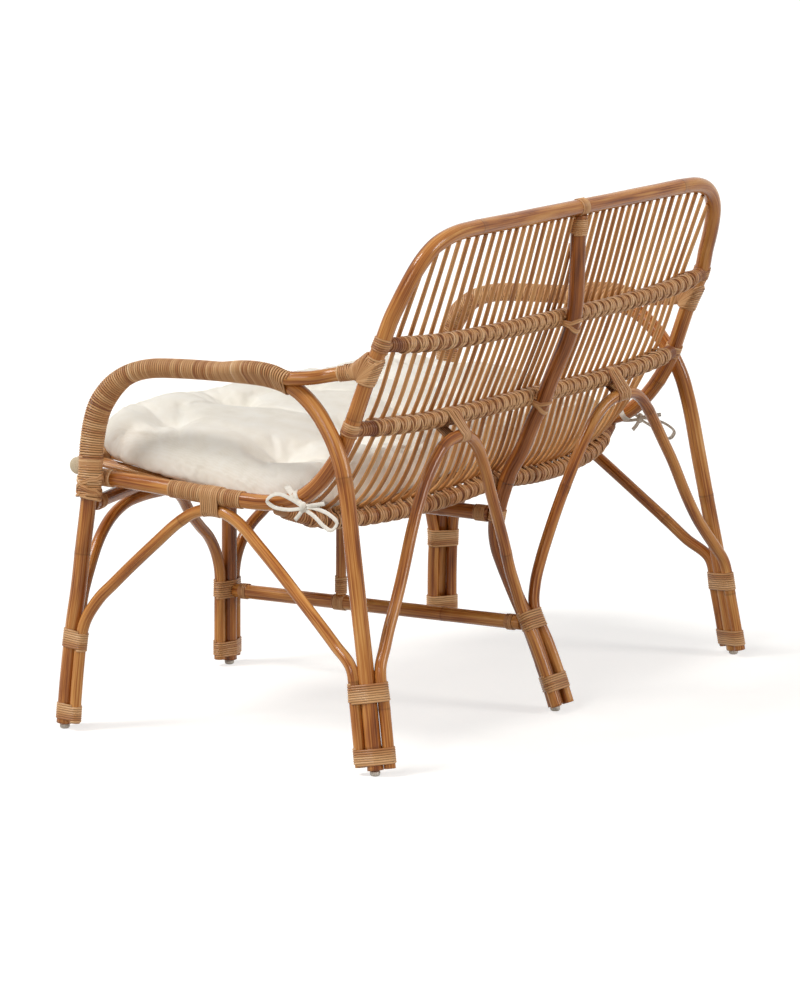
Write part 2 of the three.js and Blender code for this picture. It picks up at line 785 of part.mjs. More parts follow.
function slatCurve(x) {
  const bendX = x * bendFlareShare;
  const seatX = x * seatFlareShare;
  const top = hoopTopAt(x);
  const onUpper = onLine(upperBand, x).point;
  const onLower = onLine(lowerBand, x).point;
  const onSeat = onLine(seatBand, bendX).point;
  const front = onLine(frontRail, seatX).point;
  const upper = inFrontOf(upperBand, x, top.point, onLower);
  const lower = inFrontOf(lowerBand, x, onUpper, onSeat);
  const bend = front.clone().sub(onSeat).normalize().add(onSeat.clone().sub(onLower).normalize());
  const rear = inFrontOf(seatBand, bendX, onSeat, onSeat.clone().add(bend));
  const middle = rear.clone().lerp(front, seatMiddleShare);
  middle.z -= seatSagShare * frameDepth;
  const frontEnd = shortOf(frontRail, front, new THREE.Vector3(1, 0, 0), middle);
  return smooth([shortOf(hoop, top.point, top.tangent, upper), upper, lower, rear, middle, frontEnd]);
}

// A slat's square section has the area of the round cane.
const squareShare = Math.sqrt(Math.PI) / 2;

// Four corners round a slat at each row, from the back right to the front right.
function slatRows(x) {
  const curve = slatCurve(x);
  const across = new THREE.Vector3(slatRadius * squareShare, 0, 0);
  return slatRowShares.map((share) => {
    const centre = curve.getPoint(share);
    const front = curve.getTangent(share).cross(across);
    const corner = (side, face) => centre.clone().addScaledVector(across, side).addScaledVector(front, face);
    return [corner(-1, -1), corner(1, -1), corner(1, 1), corner(-1, 1)];
  });
}

// One closed lattice: each slat a square bar, each lashing a bridge to the next slat.
function matGeometry() {
  const positions = [];
  const index = [];
  const quad = (a, b, c, d) => index.push(a, b, c, a, c, d);
  const rowCount = slatRowShares.length;
  const at = (slat, row, corner) => (slat * rowCount + row) * 4 + corner;
  for (let slat = 0; slat < slatsPerSide; slat += 1) {
    const share = slat / (slatsPerSide - 1);
    const spread = THREE.MathUtils.lerp(share ** 3, share, slatEvenShare);
    const x = THREE.MathUtils.lerp(slatFirst, slatLast, spread);
    positions.push(...slatRows(x).flat().flatMap((point) => point.toArray()));
    quad(at(slat, 0, 0), at(slat, 0, 3), at(slat, 0, 2), at(slat, 0, 1));
    const end = rowCount - 1;
    quad(at(slat, end, 0), at(slat, end, 1), at(slat, end, 2), at(slat, end, 3));
    for (let row = 0; row < end; row += 1) {
      const lashed = lashedRows.includes(row);
      const bridged = lashed && slat + 1 < slatsPerSide;
      const face = (a, b) => {
        quad(at(slat, row, a), at(slat, row, b), at(slat, row + 1, b), at(slat, row + 1, a));
      };
      face(0, 1);
      face(2, 3);
      if (!bridged) {
        face(1, 2);
      }
      if (!(lashed && slat > 0)) {
        face(3, 0);
      }
      if (bridged) {
        const next = slat + 1;
        quad(at(slat, row, 1), at(next, row, 0), at(next, row + 1, 0), at(slat, row + 1, 1));
        quad(at(next, row, 3), at(slat, row, 2), at(slat, row + 1, 2), at(next, row + 1, 3));
        quad(at(slat, row, 1), at(slat, row, 2), at(next, row, 3), at(next, row, 0));
        quad(at(slat, row + 1, 1), at(next, row + 1, 0), at(next, row + 1, 3), at(slat, row + 1, 2));
      }
    }
  }
  const geometry = new THREE.BufferGeometry();
  geometry.setAttribute('position', new THREE.Float32BufferAttribute(positions, 3));
  geometry.setIndex(index);
  return geometry;
}

function slatMat() {
  return cutClear(solid(matGeometry()), [hoop, frontRail]);
}

// Leg lashings.

// A leg's run is read over this much of a level.
const legRunLevel = 0.1;

function legLashing(pointAt, level, height, items) {
  const point = pointAt(level);
  const above = pointAt(level + legRunLevel);
  return lashing(items, point, above.clone().sub(point).normalize(), height);
}

function addLegLashings() {
  const front = [arch, sideBrace, frontBrace];
  const rear = [arch, sideBrace, rearBrace];
  const upper = upperLashingLevels;
  const lower = lowerLashingLevels;
  const frontUpper = legLashing(frontLegAt, upper.front, legLashingHeight, front);
  const frontLower = legLashing(frontLegAt, lower.front, lowLashingHeight, front);
  const rearUpper = legLashing(rearLegAt, upper.rear, legLashingHeight, rear);
  const rearLower = legLashing(rearLegAt, lower.rear, lowLashingHeight, rear);
  addPair('front_leg_upper_lashing', cutClear(frontUpper, front), peel);
  addPair('front_leg_lower_lashing', cutClear(frontLower, front), peel);
  addPair('rear_leg_upper_lashing', cutClear(rearUpper, rear), peel);
  addPair('rear_leg_lower_lashing', cutClear(rearLower, rear), peel);
}

function mirroredPole(item) {
  return poleAlong(new Route(item.route.corners.map(mirrorPoint)), item.radius, item.sides);
}

function addMiddleLashings() {
  const front = [frontLeg, frontBrace, mirroredPole(frontBrace)];
  const rear = [spine, rearBrace, mirroredPole(rearBrace)];
  const upper = upperLashingLevels;
  const lower = lowerLashingLevels;
  const atFront = nearest(stretcher, middleFrontAt(upper.middleFront));
  const atRear = nearest(stretcher, middleRearAt(upper.middleRear));
  const frontEnd = sleeve(stretcher, atFront, 2 * stubBinding, 0);
  const rearEnd = sleeve(stretcher, atRear, 2 * stubBinding, 1);
  const frontUpper = legLashing(middleFrontAt, upper.middleFront, legLashingHeight, front).add(frontEnd);
  const rearUpper = legLashing(middleRearAt, upper.middleRear, legLashingHeight, rear).add(rearEnd);
  const frontLower = legLashing(middleFrontAt, lower.middleFront, lowLashingHeight, front);
  const rearLower = legLashing(middleRearAt, lower.middleRear, lowLashingHeight, rear);
  add('middle_front_leg_upper_lashing', geometryOf(cutClear(frontUpper, [...front, stretcher])), peel);
  add('middle_front_leg_lower_lashing', geometryOf(cutClear(frontLower, front)), peel);
  add('middle_rear_leg_upper_lashing', geometryOf(cutClear(rearUpper, [...rear, stretcher])), peel);
  add('middle_rear_leg_lower_lashing', geometryOf(cutClear(rearLower, rear)), peel);
}

// Seat rail binding with the strap that holds the side brace.

const seatRailBindingShare = -0.603;

function seatRailWrap() {
  const middle = hoopRailAt(seatRailBindingShare);
  const apex = bestPoint(sideBrace.route, (point) => -point.z).point;
  const onRail = hoopRailAt(apex.y / frameDepth);
  const centre = apex.clone().lerp(onRail.point, 0.5);
  const strap = lashing([sideBrace, hoop], centre, new THREE.Vector3(0, 1, 0), strapWidth);
  return cutClear(sleeve(hoop, middle, seatRailBinding).add(strap), [hoop, sideBrace]);
}

// Arm joint binding: round the extension's end and the hoop, below the ring of the upper band.

const jointRoom = heightAt(upperBandShares[0][2]) - heightAt(extensionLevel) - ringWidth / 2;
const jointBinding = 2 * jointBindingShare * jointRoom;

function armJointWrap() {
  const onHoop = hoopAt(extensionLevel);
  const end = nearest(extension, onHoop.point);
  const ring = sleeve(hoop, onHoop, jointBinding);
  return cutClear(ring.add(sleeve(extension, end, extensionBinding, 1)), [hoop, extension]);
}

// Front corner lashing: leg, seat rail end and both front rails.

const cornerLevel = 0.995;

function cornerLashing() {
  const onLeg = archAt(cornerLevel, false);
  const railEnd = nearest(hoop, hoop.route.getPoint(0));
  const lowerEnd = nearest(lowerRail, lowerRailEnd);
  const bodies = [
    sleeve(arch, onLeg, cornerLashingHeight),
    sleeve(hoop, railEnd, stubBinding, 0),
    sleeve(lowerRail, lowerEnd, poleRadius + stubBinding, 1),
  ];
  return cutClear(joined(bodies), [arch, hoop, lowerRail, frontRail]);
}

// Spine lashings.

function spineTopWrap() {
  const onRail = hoopTopAt(0);
  const onSpine = nearest(spine, onRail.point);
  const collar = sleeve(spine, onSpine, poleRadius + collarHeight, 0);
  return cutClear(sleeve(hoop, onRail, ringWidth).add(collar), [hoop, spine]);
}

function spineBandWrap(band) {
  const onBand = bestPoint(band.route, (point) => Math.abs(point.x)).point;
  const ring = sleeve(spine, nearest(spine, onBand), ringWidth, 0.5, lashingThickness);
  return cutClear(ring, [spine, lashed(band)]);
}

function spineSeatWrap() {
  const onSpine = spineAt(heightAt(centreRailLevel));
  const onRail = nearest(centreRail, onSpine.point);
  const stub = sleeve(centreRail, onRail, poleRadius + stubBinding, 1);
  return cutClear(sleeve(spine, onSpine, ringWidth).add(stub), [spine, centreRail]);
}

function strutWrap() {
  const onStretcher = nearest(stretcher, strut.route.getPoint(0));
  const up = sleeve(strut, nearest(strut, onStretcher.point), stretcherRadius + strutBinding, 0);
  return cutClear(sleeve(stretcher, onStretcher, ringWidth).add(up), [stretcher, strut]);
}

// Arm winding: one strip wound round the arm pole, and round the extension too at its end.

const windingReach = 8;
const windingStartLevel = 1.26;
const windingEndShare = -0.358;
const windingSteps = windingLoops * windingStepsPerLoop;

// The stretch of the arch that is wound, from the front leg over the arm.
function windingSpan() {
  const from = archAt(windingStartLevel, false).t;
  const y = windingEndShare * frameDepth;
  const to = bestPoint(arch.route, (point) => (
    Math.abs(point.y - y) + (point.z > (seatHeight + armHeight) / 2 ? 0 : footSpan)
  )).t;
  return [from * arch.route.run, to * arch.route.run];
}

// Corners of the strip where it passes a length along the arch, one per facet of its turn.
function windingCorner(along, facet, thickness, bow) {
  const t = along / arch.route.run;
  const centre = arch.route.getPoint(t);
  const ahead = arch.route.getPoint(t + poleRadius / arch.route.run);
  const behind = arch.route.getPoint(t - poleRadius / arch.route.run);
  const axis = ahead.sub(behind).normalize();
  const first = new THREE.Vector3(1, 0, -sideLeanShare);
  first.addScaledVector(axis, -first.dot(axis)).normalize();
  const second = new THREE.Vector3().crossVectors(axis, first);
  const circles = circlesOn([arch, extension], centre, axis, first, second, windingReach);
  const [bowX, bowY] = [bow.dot(first), bow.dot(second)];
  const lifted = circles.map(({ x, y, radius }) => ({ x: x + bowX, y: y + bowY, radius }));
  const outline = tightOutline([...circles, ...lifted], clearance + thickness, windingStepsPerLoop);
  const corner = outline[facet];
  return centre.addScaledVector(first, corner.x).addScaledVector(second, corner.y);
}

// How far the arch bows away from the straight line across a strip.
function bowOver(from, to) {
  const pointAlong = (along) => arch.route.getPoint(along / arch.route.run);
  const chord = pointAlong(from).lerp(pointAlong(to), 0.5);
  return pointAlong((from + to) / 2).sub(chord);
}

function windingRings() {
  const [from, to] = windingSpan();
  const pitch = (to - from) / (windingLoops + 1);
  const halfWidth = (pitch - windingGap) / 2;
  const rings = [];
  for (let i = 0; i <= windingSteps; i += 1) {
    const along = from + pitch / 2 + (i / windingStepsPerLoop) * pitch;
    const facet = i % windingStepsPerLoop;
    const bow = bowOver(along - halfWidth, along + halfWidth);
    rings.push([
      windingCorner(along - halfWidth, facet, 0, bow),
      windingCorner(along + halfWidth, facet, 0, bow),
      windingCorner(along + halfWidth, facet, bindingThickness, bow),
      windingCorner(along - halfWidth, facet, bindingThickness, bow),
    ]);
  }
  return rings;
}

// The least distance between one loop's edge and the next loop's.
function leastGap(rings) {
  let least = Infinity;
  for (let i = 0; i + windingStepsPerLoop < rings.length; i += 1) {
    const [a, b] = [rings[i], rings[i + windingStepsPerLoop]];
    least = Math.min(least, a[1].distanceTo(b[0]), a[2].distanceTo(b[3]));
  }
  return least;
}

function stripGeometry(rings) {
  const positions = rings.flat().flatMap((point) => [point.x, point.y, point.z]);
  const corners = 4;
  const index = [0, 2, 1, 0, 3, 2];
  for (let i = 0; i + 1 < rings.length; i += 1) {
    for (let k = 0; k < corners; k += 1) {
      const [a, b] = [i * corners + k, i * corners + ((k + 1) % corners)];
      index.push(a, b, b + corners, a, b + corners, a + corners);
    }
  }
  const last = (rings.length - 1) * corners;
  index.push(last, last + 1, last + 2, last, last + 2, last + 3);
  const geometry = new THREE.BufferGeometry();
  geometry.setAttribute('position', new THREE.Float32BufferAttribute(positions, 3));
  geometry.setIndex(index);
  geometry.computeVertexNormals();
  return geometry;
}

function addArmWindings() {
  const rings = windingRings();
  console.log(`arm winding: ${windingLoops} loops, least gap ${leastGap(rings).toFixed(2)} mm`);
  const geometry = stripGeometry(rings);
  add('arm_winding_left', geometry, peel);
  add('arm_winding_right', mirrored(geometry), peel);
}

// Cushion: crowned top, drawn-in sides and sewn tufts.

const cushionWidth = 2 * (hoopX - poleRadius - cushionSideMargin);
const cushionColumns = 24;
const cushionRows = 15;
const topEdgePower = 14;
const underEdgePower = 14;
const cornerRoundShare = 0.068;
const underShare = 0.1;
const tuftUnderShare = 0.3;

// Rows of cushion vertices crowd towards its edges.
function edgeSpread(share) {
  return Math.sin((Math.PI / 2) * Math.sin((Math.PI / 2) * share));
}

function tuftPull(x, y) {
  let pull = 0;
  for (let i = 0; i < tuftColumns; i += 1) {
    for (let j = 0; j < tuftRows; j += 1) {
      const tuftX = ((i + 0.5) / tuftColumns - 0.5) * cushionWidth;
      const tuftY = ((j + 0.5) / tuftRows - 0.5) * cushionDepth;
      const away = Math.hypot(x - tuftX, y - tuftY) / tuftReach;
      pull = Math.max(pull, Math.max(0, 1 - away) ** 1.5);
    }
  }
  return pull;
}

// The slats' upper faces at a place on the seat.
function slatTop(x, y) {
  const curve = slatCurve(x / seatFlareShare);
  const line = slatRowShares.map((share) => curve.getPoint(share));
  const last = line.length - 1;
  let row = 1;
  while (row < last && line[row].y > y) {
    row += 1;
  }
  const [a, b] = [line[row - 1], line[row]];
  const share = (y - a.y) / (b.y - a.y);
  const rise = Math.hypot(1, (b.z - a.z) / (b.y - a.y));
  return THREE.MathUtils.lerp(a.z, b.z, share) + slatRadius * rise;
}

function cushionPlace(u, v, top) {
  const frontY = frontMiddleY + frontRailRadius + cushionFrontSetback;
  const rounded = (a, b) => a * (1 - cornerRoundShare * b ** 4);
  const x = rounded(u, v) * (cushionWidth / 2);
  const y = rounded(v, u) * (cushionDepth / 2);
  const power = top ? topEdgePower : underEdgePower;
  const edge = Math.sqrt(Math.max(0, (1 - Math.abs(u) ** power) * (1 - Math.abs(v) ** power)));
  const crown = cushionCrown * (1 - u ** 2) * (1 - v ** 2);
  const pull = tuftPull(x, y) * tuftDepth;
  const under = cushionThickness * underShare;
  const over = cushionThickness - under;
  const rise = top ? over * edge + crown - pull : pull * tuftUnderShare - under * edge;
  const seatY = frontY + cushionDepth / 2 + y;
  const seatX = THREE.MathUtils.clamp(x, -slatLast, slatLast);
  const base = slatTop(seatX, Math.min(seatY, seatBand.route.corners[0].y)) + clearance;
  const lift = cushionEndLift * v ** 6;
  const least = slatTop(seatX, seatY) + cushionClearance;
  return [x, seatY, Math.max(base + under + rise + lift, least)];
}

function cushionGeometry() {
  const positions = [];
  const index = [];
  const [columns, rows] = [cushionColumns, cushionRows];
  const grids = [true, false].map(() => []);
  [true, false].forEach((top, side) => {
    for (let j = 0; j <= rows; j += 1) {
      for (let i = 0; i <= columns; i += 1) {
        const onEdge = i === 0 || j === 0 || i === columns || j === rows;
        if (!top && onEdge) {
          grids[side].push(grids[0][j * (columns + 1) + i]);
        } else {
          const across = edgeSpread((2 * i) / columns - 1);
          const back = edgeSpread((2 * j) / rows - 1);
          grids[side].push(positions.length / 3);
          positions.push(...cushionPlace(across, back, top));
        }
      }
    }
  });
  grids.forEach((grid, side) => {
    for (let j = 0; j < rows; j += 1) {
      for (let i = 0; i < columns; i += 1) {
        const a = grid[j * (columns + 1) + i];
        const b = grid[j * (columns + 1) + i + 1];
        const c = grid[(j + 1) * (columns + 1) + i + 1];
        const d = grid[(j + 1) * (columns + 1) + i];
        index.push(...(side === 0 ? [a, b, c, a, c, d] : [a, c, b, a, d, c]));
      }
    }
  });
  const geometry = new THREE.BufferGeometry();
  geometry.setAttribute('position', new THREE.Float32BufferAttribute(positions, 3));
  geometry.setIndex(index);
  geometry.computeVertexNormals();
  return geometry;
}

// Ties: a tape round each bend of the hoop with a bow outside it.

const tieShare = -0.318;
const loopReach = 46;
const loopDrop = 12;
const tailReach = 34;
const tapeSides = 4;
const tapeRingSides = 8;
const knotTurn = Math.PI / 6;

function tapeTube(points) {
  return solid(tubeGeometry(new Route(points), tapeRadius, tapeSides));
}

function tie() {
  const at = hoopRailAt(tieShare);
  const knotPlace = at.point.clone();
  const knotReach = poleRadius + bindingThickness + knotDiameter / 4;
  knotPlace.x += knotReach * Math.cos(knotTurn);
  knotPlace.z -= knotReach * Math.sin(knotTurn);
  const knot = new THREE.SphereGeometry(knotDiameter / 2, tapeRingSides, tapeSides);
  knot.translate(knotPlace.x, knotPlace.y, knotPlace.z);
  const from = (dx, dy, dz) => knotPlace.clone().add(new THREE.Vector3(dx, dy, dz));
  const out = knotDiameter / 4;
  const frontLoop = [
    from(0, 0, 0), from(out, -loopReach / 2, loopDrop), from(out, -loopReach, loopDrop / 2),
    from(2 * out, -loopReach / 2, -loopDrop / 2), from(0, 0, 0),
  ];
  const rearLoop = [
    from(0, 0, 0), from(2 * out, loopReach / 2, -loopDrop / 2), from(2 * out, loopReach, -2 * loopDrop),
    from(out, loopReach / 3, -2 * loopDrop), from(0, 0, 0),
  ];
  const frontTail = [from(0, 0, 0), from(out, -tailReach / 2, -tailReach / 2)];
  const rearTail = [from(0, 0, 0), from(2 * out, tailReach, loopDrop / 2)];
  const tapes = [frontLoop, rearLoop, frontTail, rearTail].map(tapeTube);
  return cutClear(joined([sleeve(hoop, at, tapeWidth), solid(knot), ...tapes]), [hoop]);
}

// Glides.

function glideGeometry(x, y) {
  const profile = [
    new THREE.Vector2(0, 0),
    new THREE.Vector2(glideTipDiameter / 2, 0),
    new THREE.Vector2(glideDiameter / 2, glideBevel),
    new THREE.Vector2(0, glideHeight),
  ];
  const geometry = new THREE.LatheGeometry(profile, glideSides);
  geometry.rotateX(Math.PI / 2);
  geometry.translate(x, y, 0);
  return geometry;
}

const glideLevel = 0.03;

function addGlides() {
  const front = frontLegAt(glideLevel);
  const rear = rearLegAt(glideLevel);
  add('front_glide_left', glideGeometry(front.x, front.y), glideNylon);
  add('front_glide_right', glideGeometry(-front.x, front.y), glideNylon);
  add('rear_glide_left', glideGeometry(rear.x, rear.y), glideNylon);
  add('rear_glide_right', glideGeometry(-rear.x, rear.y), glideNylon);
  add('middle_front_glide', glideGeometry(0, frontMiddleY), glideNylon);
  add('middle_rear_glide', glideGeometry(0, middleRearAt(glideLevel).y), glideNylon);
}

// Assembly.

const poleFoot = glideHeight + clearance;
const farArch = mirroredPole(arch);
const bothRearBraces = [rearBrace, mirroredPole(rearBrace)];

function footed(item, height, neighbours) {
  return trimFoot(cutClear(item.body, neighbours), height);
}

function addClear(name, body, neighbours, finish) {
  add(name, geometryOf(cutClear(body, neighbours)), finish);
}

addClear('back_hoop', hoop.body, [], varnish);
addPair('side_arch', footed(arch, poleFoot, [hoop]), varnish);
addPair('arm_extension', cutClear(extension.body, [arch, hoop]), varnish);
addPair('side_brace', footed(sideBrace, caneFootHeight, [arch, hoop]), varnish);
addPair('rear_brace', footed(rearBrace, caneFootHeight, [arch, hoop, spine, seatBand]), varnish);
addPair('front_brace', footed(frontBrace, caneFootHeight, [arch, frontLeg, lowerRail, sideBrace]), varnish);
add('back_spine', geometryOf(footed(spine, poleFoot, [hoop])), darkVarnish);
add('middle_front_leg', geometryOf(footed(frontLeg, poleFoot, [])), darkVarnish);
addClear('upper_band', lashedBand(upperBand, hoopAt(upperBandShares[0][2])), [hoop, spine], peel);
addClear('lower_band', lowerLashedBand(), [hoop, spine, ...bothRearBraces], peel);
addClear('seat_band', lashedBand(seatBand, hoopRailAt(bandEndShares.seat)), [hoop, spine], peel);
addClear('front_rail', frontRail.body, [arch, farArch], peel);
addClear('front_lower_rail', lowerRail.body, [arch, frontLeg, farArch], darkVarnish);
addClear('seat_centre_rail', centreRail.body, [frontLeg, spine, lowerRail], darkVarnish);
addClear('stretcher', stretcher.body, [frontLeg, spine], varnish);
addClear('stretcher_strut', strut.body, [stretcher, centreRail], varnish);
addPair('slat_mat', slatMat(), slatVarnish);
addLegLashings();
addMiddleLashings();
addPair('seat_rail_binding', seatRailWrap(), peel);
addPair('arm_joint_binding', armJointWrap(), peel);
addPair('front_corner_lashing', cornerLashing(), peel);
add('spine_top_lashing', geometryOf(spineTopWrap()), peel);
add('spine_upper_lashing', geometryOf(spineBandWrap(upperBand)), peel);
add('spine_lower_lashing', geometryOf(spineBandWrap(lowerBand)), peel);
add('spine_seat_lashing', geometryOf(spineSeatWrap()), peel);
add('strut_foot_lashing', geometryOf(strutWrap()), peel);
addArmWindings();
add('seat_cushion', cushionGeometry(), cotton);
addPair('cushion_tie', tie(), tape);
addGlides();

// The origin is the middle of the footprint, on the floor.
const extent = new THREE.Box3().setFromObject(group);
group.position.set(0, -(extent.min.y + extent.max.y) / 2, 0);

export default group;
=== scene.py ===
import bpy
import numpy as np
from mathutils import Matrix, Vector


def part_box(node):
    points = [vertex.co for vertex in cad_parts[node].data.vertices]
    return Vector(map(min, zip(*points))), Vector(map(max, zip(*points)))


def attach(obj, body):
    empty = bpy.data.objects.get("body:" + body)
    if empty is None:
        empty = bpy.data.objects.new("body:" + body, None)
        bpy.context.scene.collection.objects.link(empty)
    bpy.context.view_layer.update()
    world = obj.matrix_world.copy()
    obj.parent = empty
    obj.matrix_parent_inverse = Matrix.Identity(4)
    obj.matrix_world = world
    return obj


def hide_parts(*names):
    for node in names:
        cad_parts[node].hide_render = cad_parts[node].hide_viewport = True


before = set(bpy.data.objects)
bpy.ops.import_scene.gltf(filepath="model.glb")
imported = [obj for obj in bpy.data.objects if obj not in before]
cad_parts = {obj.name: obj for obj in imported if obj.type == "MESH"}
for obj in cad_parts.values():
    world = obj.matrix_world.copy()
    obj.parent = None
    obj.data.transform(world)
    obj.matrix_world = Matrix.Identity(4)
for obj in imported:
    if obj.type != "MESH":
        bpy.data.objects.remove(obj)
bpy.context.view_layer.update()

# Side arches. Each is one rattan pole, 25 mm thick, steamed and bent into front leg, arm and rear
# leg. The pole keeps its hard skin under a clear varnish; dark rings mark where leaves grew.
foot_span, frame_depth, side_lean = 1.080, 0.595, 0.0767
seat_height, arm_height, back_height = 0.386, 0.583, 0.808
pole_radius, cane_radius, foot_height = 0.0125, 0.0093, 0.0083
clear = 0.0003                                       # poles that touch stand this far apart
front_middle = -(frame_depth + 0.062)                # the middle front leg, in the drawing
low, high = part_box("middle_front_glide")
back_by = (low[1] + high[1]) / 2 - front_middle      # from the drawing's depth to the frame's
front_y = front_middle + back_by
sideways, rearward, upward = (1, 0, 0), (0, 1, 0), (0, 0, 1)
mirror = np.array([-1, 1, 1])
arch_shares = np.array([
    [-0.9933, 0.1969], [-0.9815, 0.4249], [-0.9697, 0.5699], [-0.9597, 0.7513], [-0.9496, 0.9145],
    [-0.9462, 1.0711], [-0.9445, 1.3249], [-0.9361, 1.5025], [-0.9227, 1.6294], [-0.8992, 1.736],
    [-0.8689, 1.8274], [-0.8218, 1.9137], [-0.7697, 1.9594], [-0.6773, 1.9848], [-0.4908, 2],
    [-0.4034, 1.9949], [-0.3462, 1.9645], [-0.3109, 1.9239], [-0.2807, 1.868], [-0.242, 1.7665],
    [-0.2084, 1.6396], [-0.1849, 1.5279], [-0.163, 1.3858], [-0.1485, 1.2386], [-0.1358, 1.0711],
    [-0.117, 0.8731], [-0.0914, 0.6606], [-0.0655, 0.4508], [-0.0386, 0.2202]])


def height(level):
    """Height of a level: 0 floor, 1 seat rail, 2 arm, 3 top rail, straight in between."""
    marks = np.array([0, seat_height, arm_height, back_height])
    step = np.clip(np.floor(level), 0, 2).astype(int)
    return marks[step] + (level - step) * (marks[step + 1] - marks[step])


def at_depth(share):
    """The y at a share of the frame's depth: 0 at the rear feet, -1 at the front feet."""
    return share * frame_depth + back_by


def place(x, y_share, level):
    """Points from x in metres, a share of the frame's depth and a level."""
    x, y_share, level = np.broadcast_arrays(x, np.asarray(y_share, float), np.asarray(level, float))
    return np.stack([x, at_depth(y_share), height(level)], axis=-1)


def side_x(z):
    """The x of the left arch, which leans inward as it rises."""
    return foot_span / 2 - side_lean * z


def unit(vectors):
    """Each vector over its own length."""
    return vectors / np.linalg.norm(vectors, axis=-1, keepdims=True)


def bend(points, spacing=0.004):
    """A smooth line through points: a cubic between each two, with the end slopes of the
    centripetal Catmull-Rom curve, cut again into even lengths."""
    points = np.asarray(points, float)
    points = np.vstack([2 * points[0] - points[1], points, 2 * points[-1] - points[-2]])
    knots = np.sqrt(np.linalg.norm(np.diff(points, axis=0), axis=1))[:, None]
    a, b, c = knots[:-2], knots[1:-1], knots[2:]
    p0, p1, p2, p3 = points[:-3], points[1:-2], points[2:-1], points[3:]
    out = ((p1 - p0) / a - (p2 - p0) / (a + b) + (p2 - p1) / b) * b
    into = ((p2 - p1) / b - (p3 - p1) / (b + c) + (p3 - p2) / c) * b
    t = np.linspace(0, 1, 24, endpoint=False)[None, :, None]
    cubic = ((2 * t**3 - 3 * t**2 + 1) * p1[:, None] + (t**3 - 2 * t**2 + t) * out[:, None]
             + (3 * t**2 - 2 * t**3) * p2[:, None] + (t**3 - t**2) * into[:, None])
    line = np.vstack([cubic.reshape(-1, 3), points[-2]])
    return even(line, spacing)


def lengths(line):
    """The length run from a line's start to each of its points."""
    return np.concatenate([[0], np.cumsum(np.linalg.norm(np.diff(line, axis=0), axis=1))])


def at_lengths(line, s, values=None):
    """Points of a line, or other values along it, at given lengths from its start."""
    run = lengths(line)
    values = line if values is None else values
    return np.stack([np.interp(s, run, values[:, k]) for k in range(values.shape[1])], axis=-1)


def even(line, spacing):
    """The same line with its points evenly spaced."""
    run = lengths(line)[-1]
    return at_lengths(line, np.linspace(0, run, max(2, int(round(run / spacing)) + 1)))


def frames(line, outward):
    """Three square directions at each point: along the line, outward, and across both."""
    along = unit(np.gradient(line, axis=0))
    outward = np.broadcast_to(np.asarray(outward, float), line.shape)
    first = unit(outward - (outward * along).sum(1, keepdims=True) * along)
    return along, first, np.cross(along, first)


def cut_at(line, low_z, spacing=0.004):
    """The part of a line between where it first and where it last stands at a height."""
    fine = even(line, 0.0004)
    keep = np.nonzero(fine[:, 2] >= low_z)[0]
    return even(fine[keep[0]:keep[-1] + 1], spacing)


def pole(line, radius, outward, seed, sides=20):
    """A round rattan pole. At length s along the line it is a circle square to the line, with a
    slow wander of about 1 % in its radius and a low swelling at each growth ring, 0.28 to 0.5 m apart."""
    luck = np.random.default_rng(seed)
    run = lengths(line)[-1]
    rings = np.cumsum(luck.uniform(0.28, 0.5, 9)) - luck.uniform(0, 0.25)
    rings = rings[(rings > 0.03) & (rings < run - 0.02)]
    fine = (rings[:, None] + np.array([-8, -4, -2, -1, 0, 1, 2, 4, 8]) * 0.001).ravel()
    s = np.unique(np.concatenate([np.linspace(0, run, len(line)), fine[(fine > 0) & (fine < run)]]))
    line = at_lengths(line, s)
    first, second = frames(line, outward(line) if callable(outward) else outward)[1:]
    away = s[:, None] - rings[None, :]
    swelling = np.exp(-(away / 0.006) ** 2).sum(1) * 0.0003
    wander = 1 + 0.007 * np.sin(s * 19 + seed) + 0.006 * np.sin(s * 43 + 2 * seed)
    r = (radius * wander + swelling)[:, None]
    turn = np.linspace(0, 2 * np.pi, sides, endpoint=False)[None, :]
    x, y = r * np.cos(turn), r * np.sin(turn)
    points = line[:, None] + x[..., None] * first[:, None] + y[..., None] * second[:, None]
    skin = np.stack([x, y, np.broadcast_to(s[:, None] + 2.7 * seed, x.shape)], axis=-1)
    mark = np.exp(-(away / 0.0014) ** 2).sum(1) + 0.5 * np.exp(-((away - 0.006) / 0.006) ** 2).sum(1)
    return {"points": points, "skin": skin, "mark": mark[:, None], "tone": 0.5 + luck.uniform(-0.14, 0.14)}


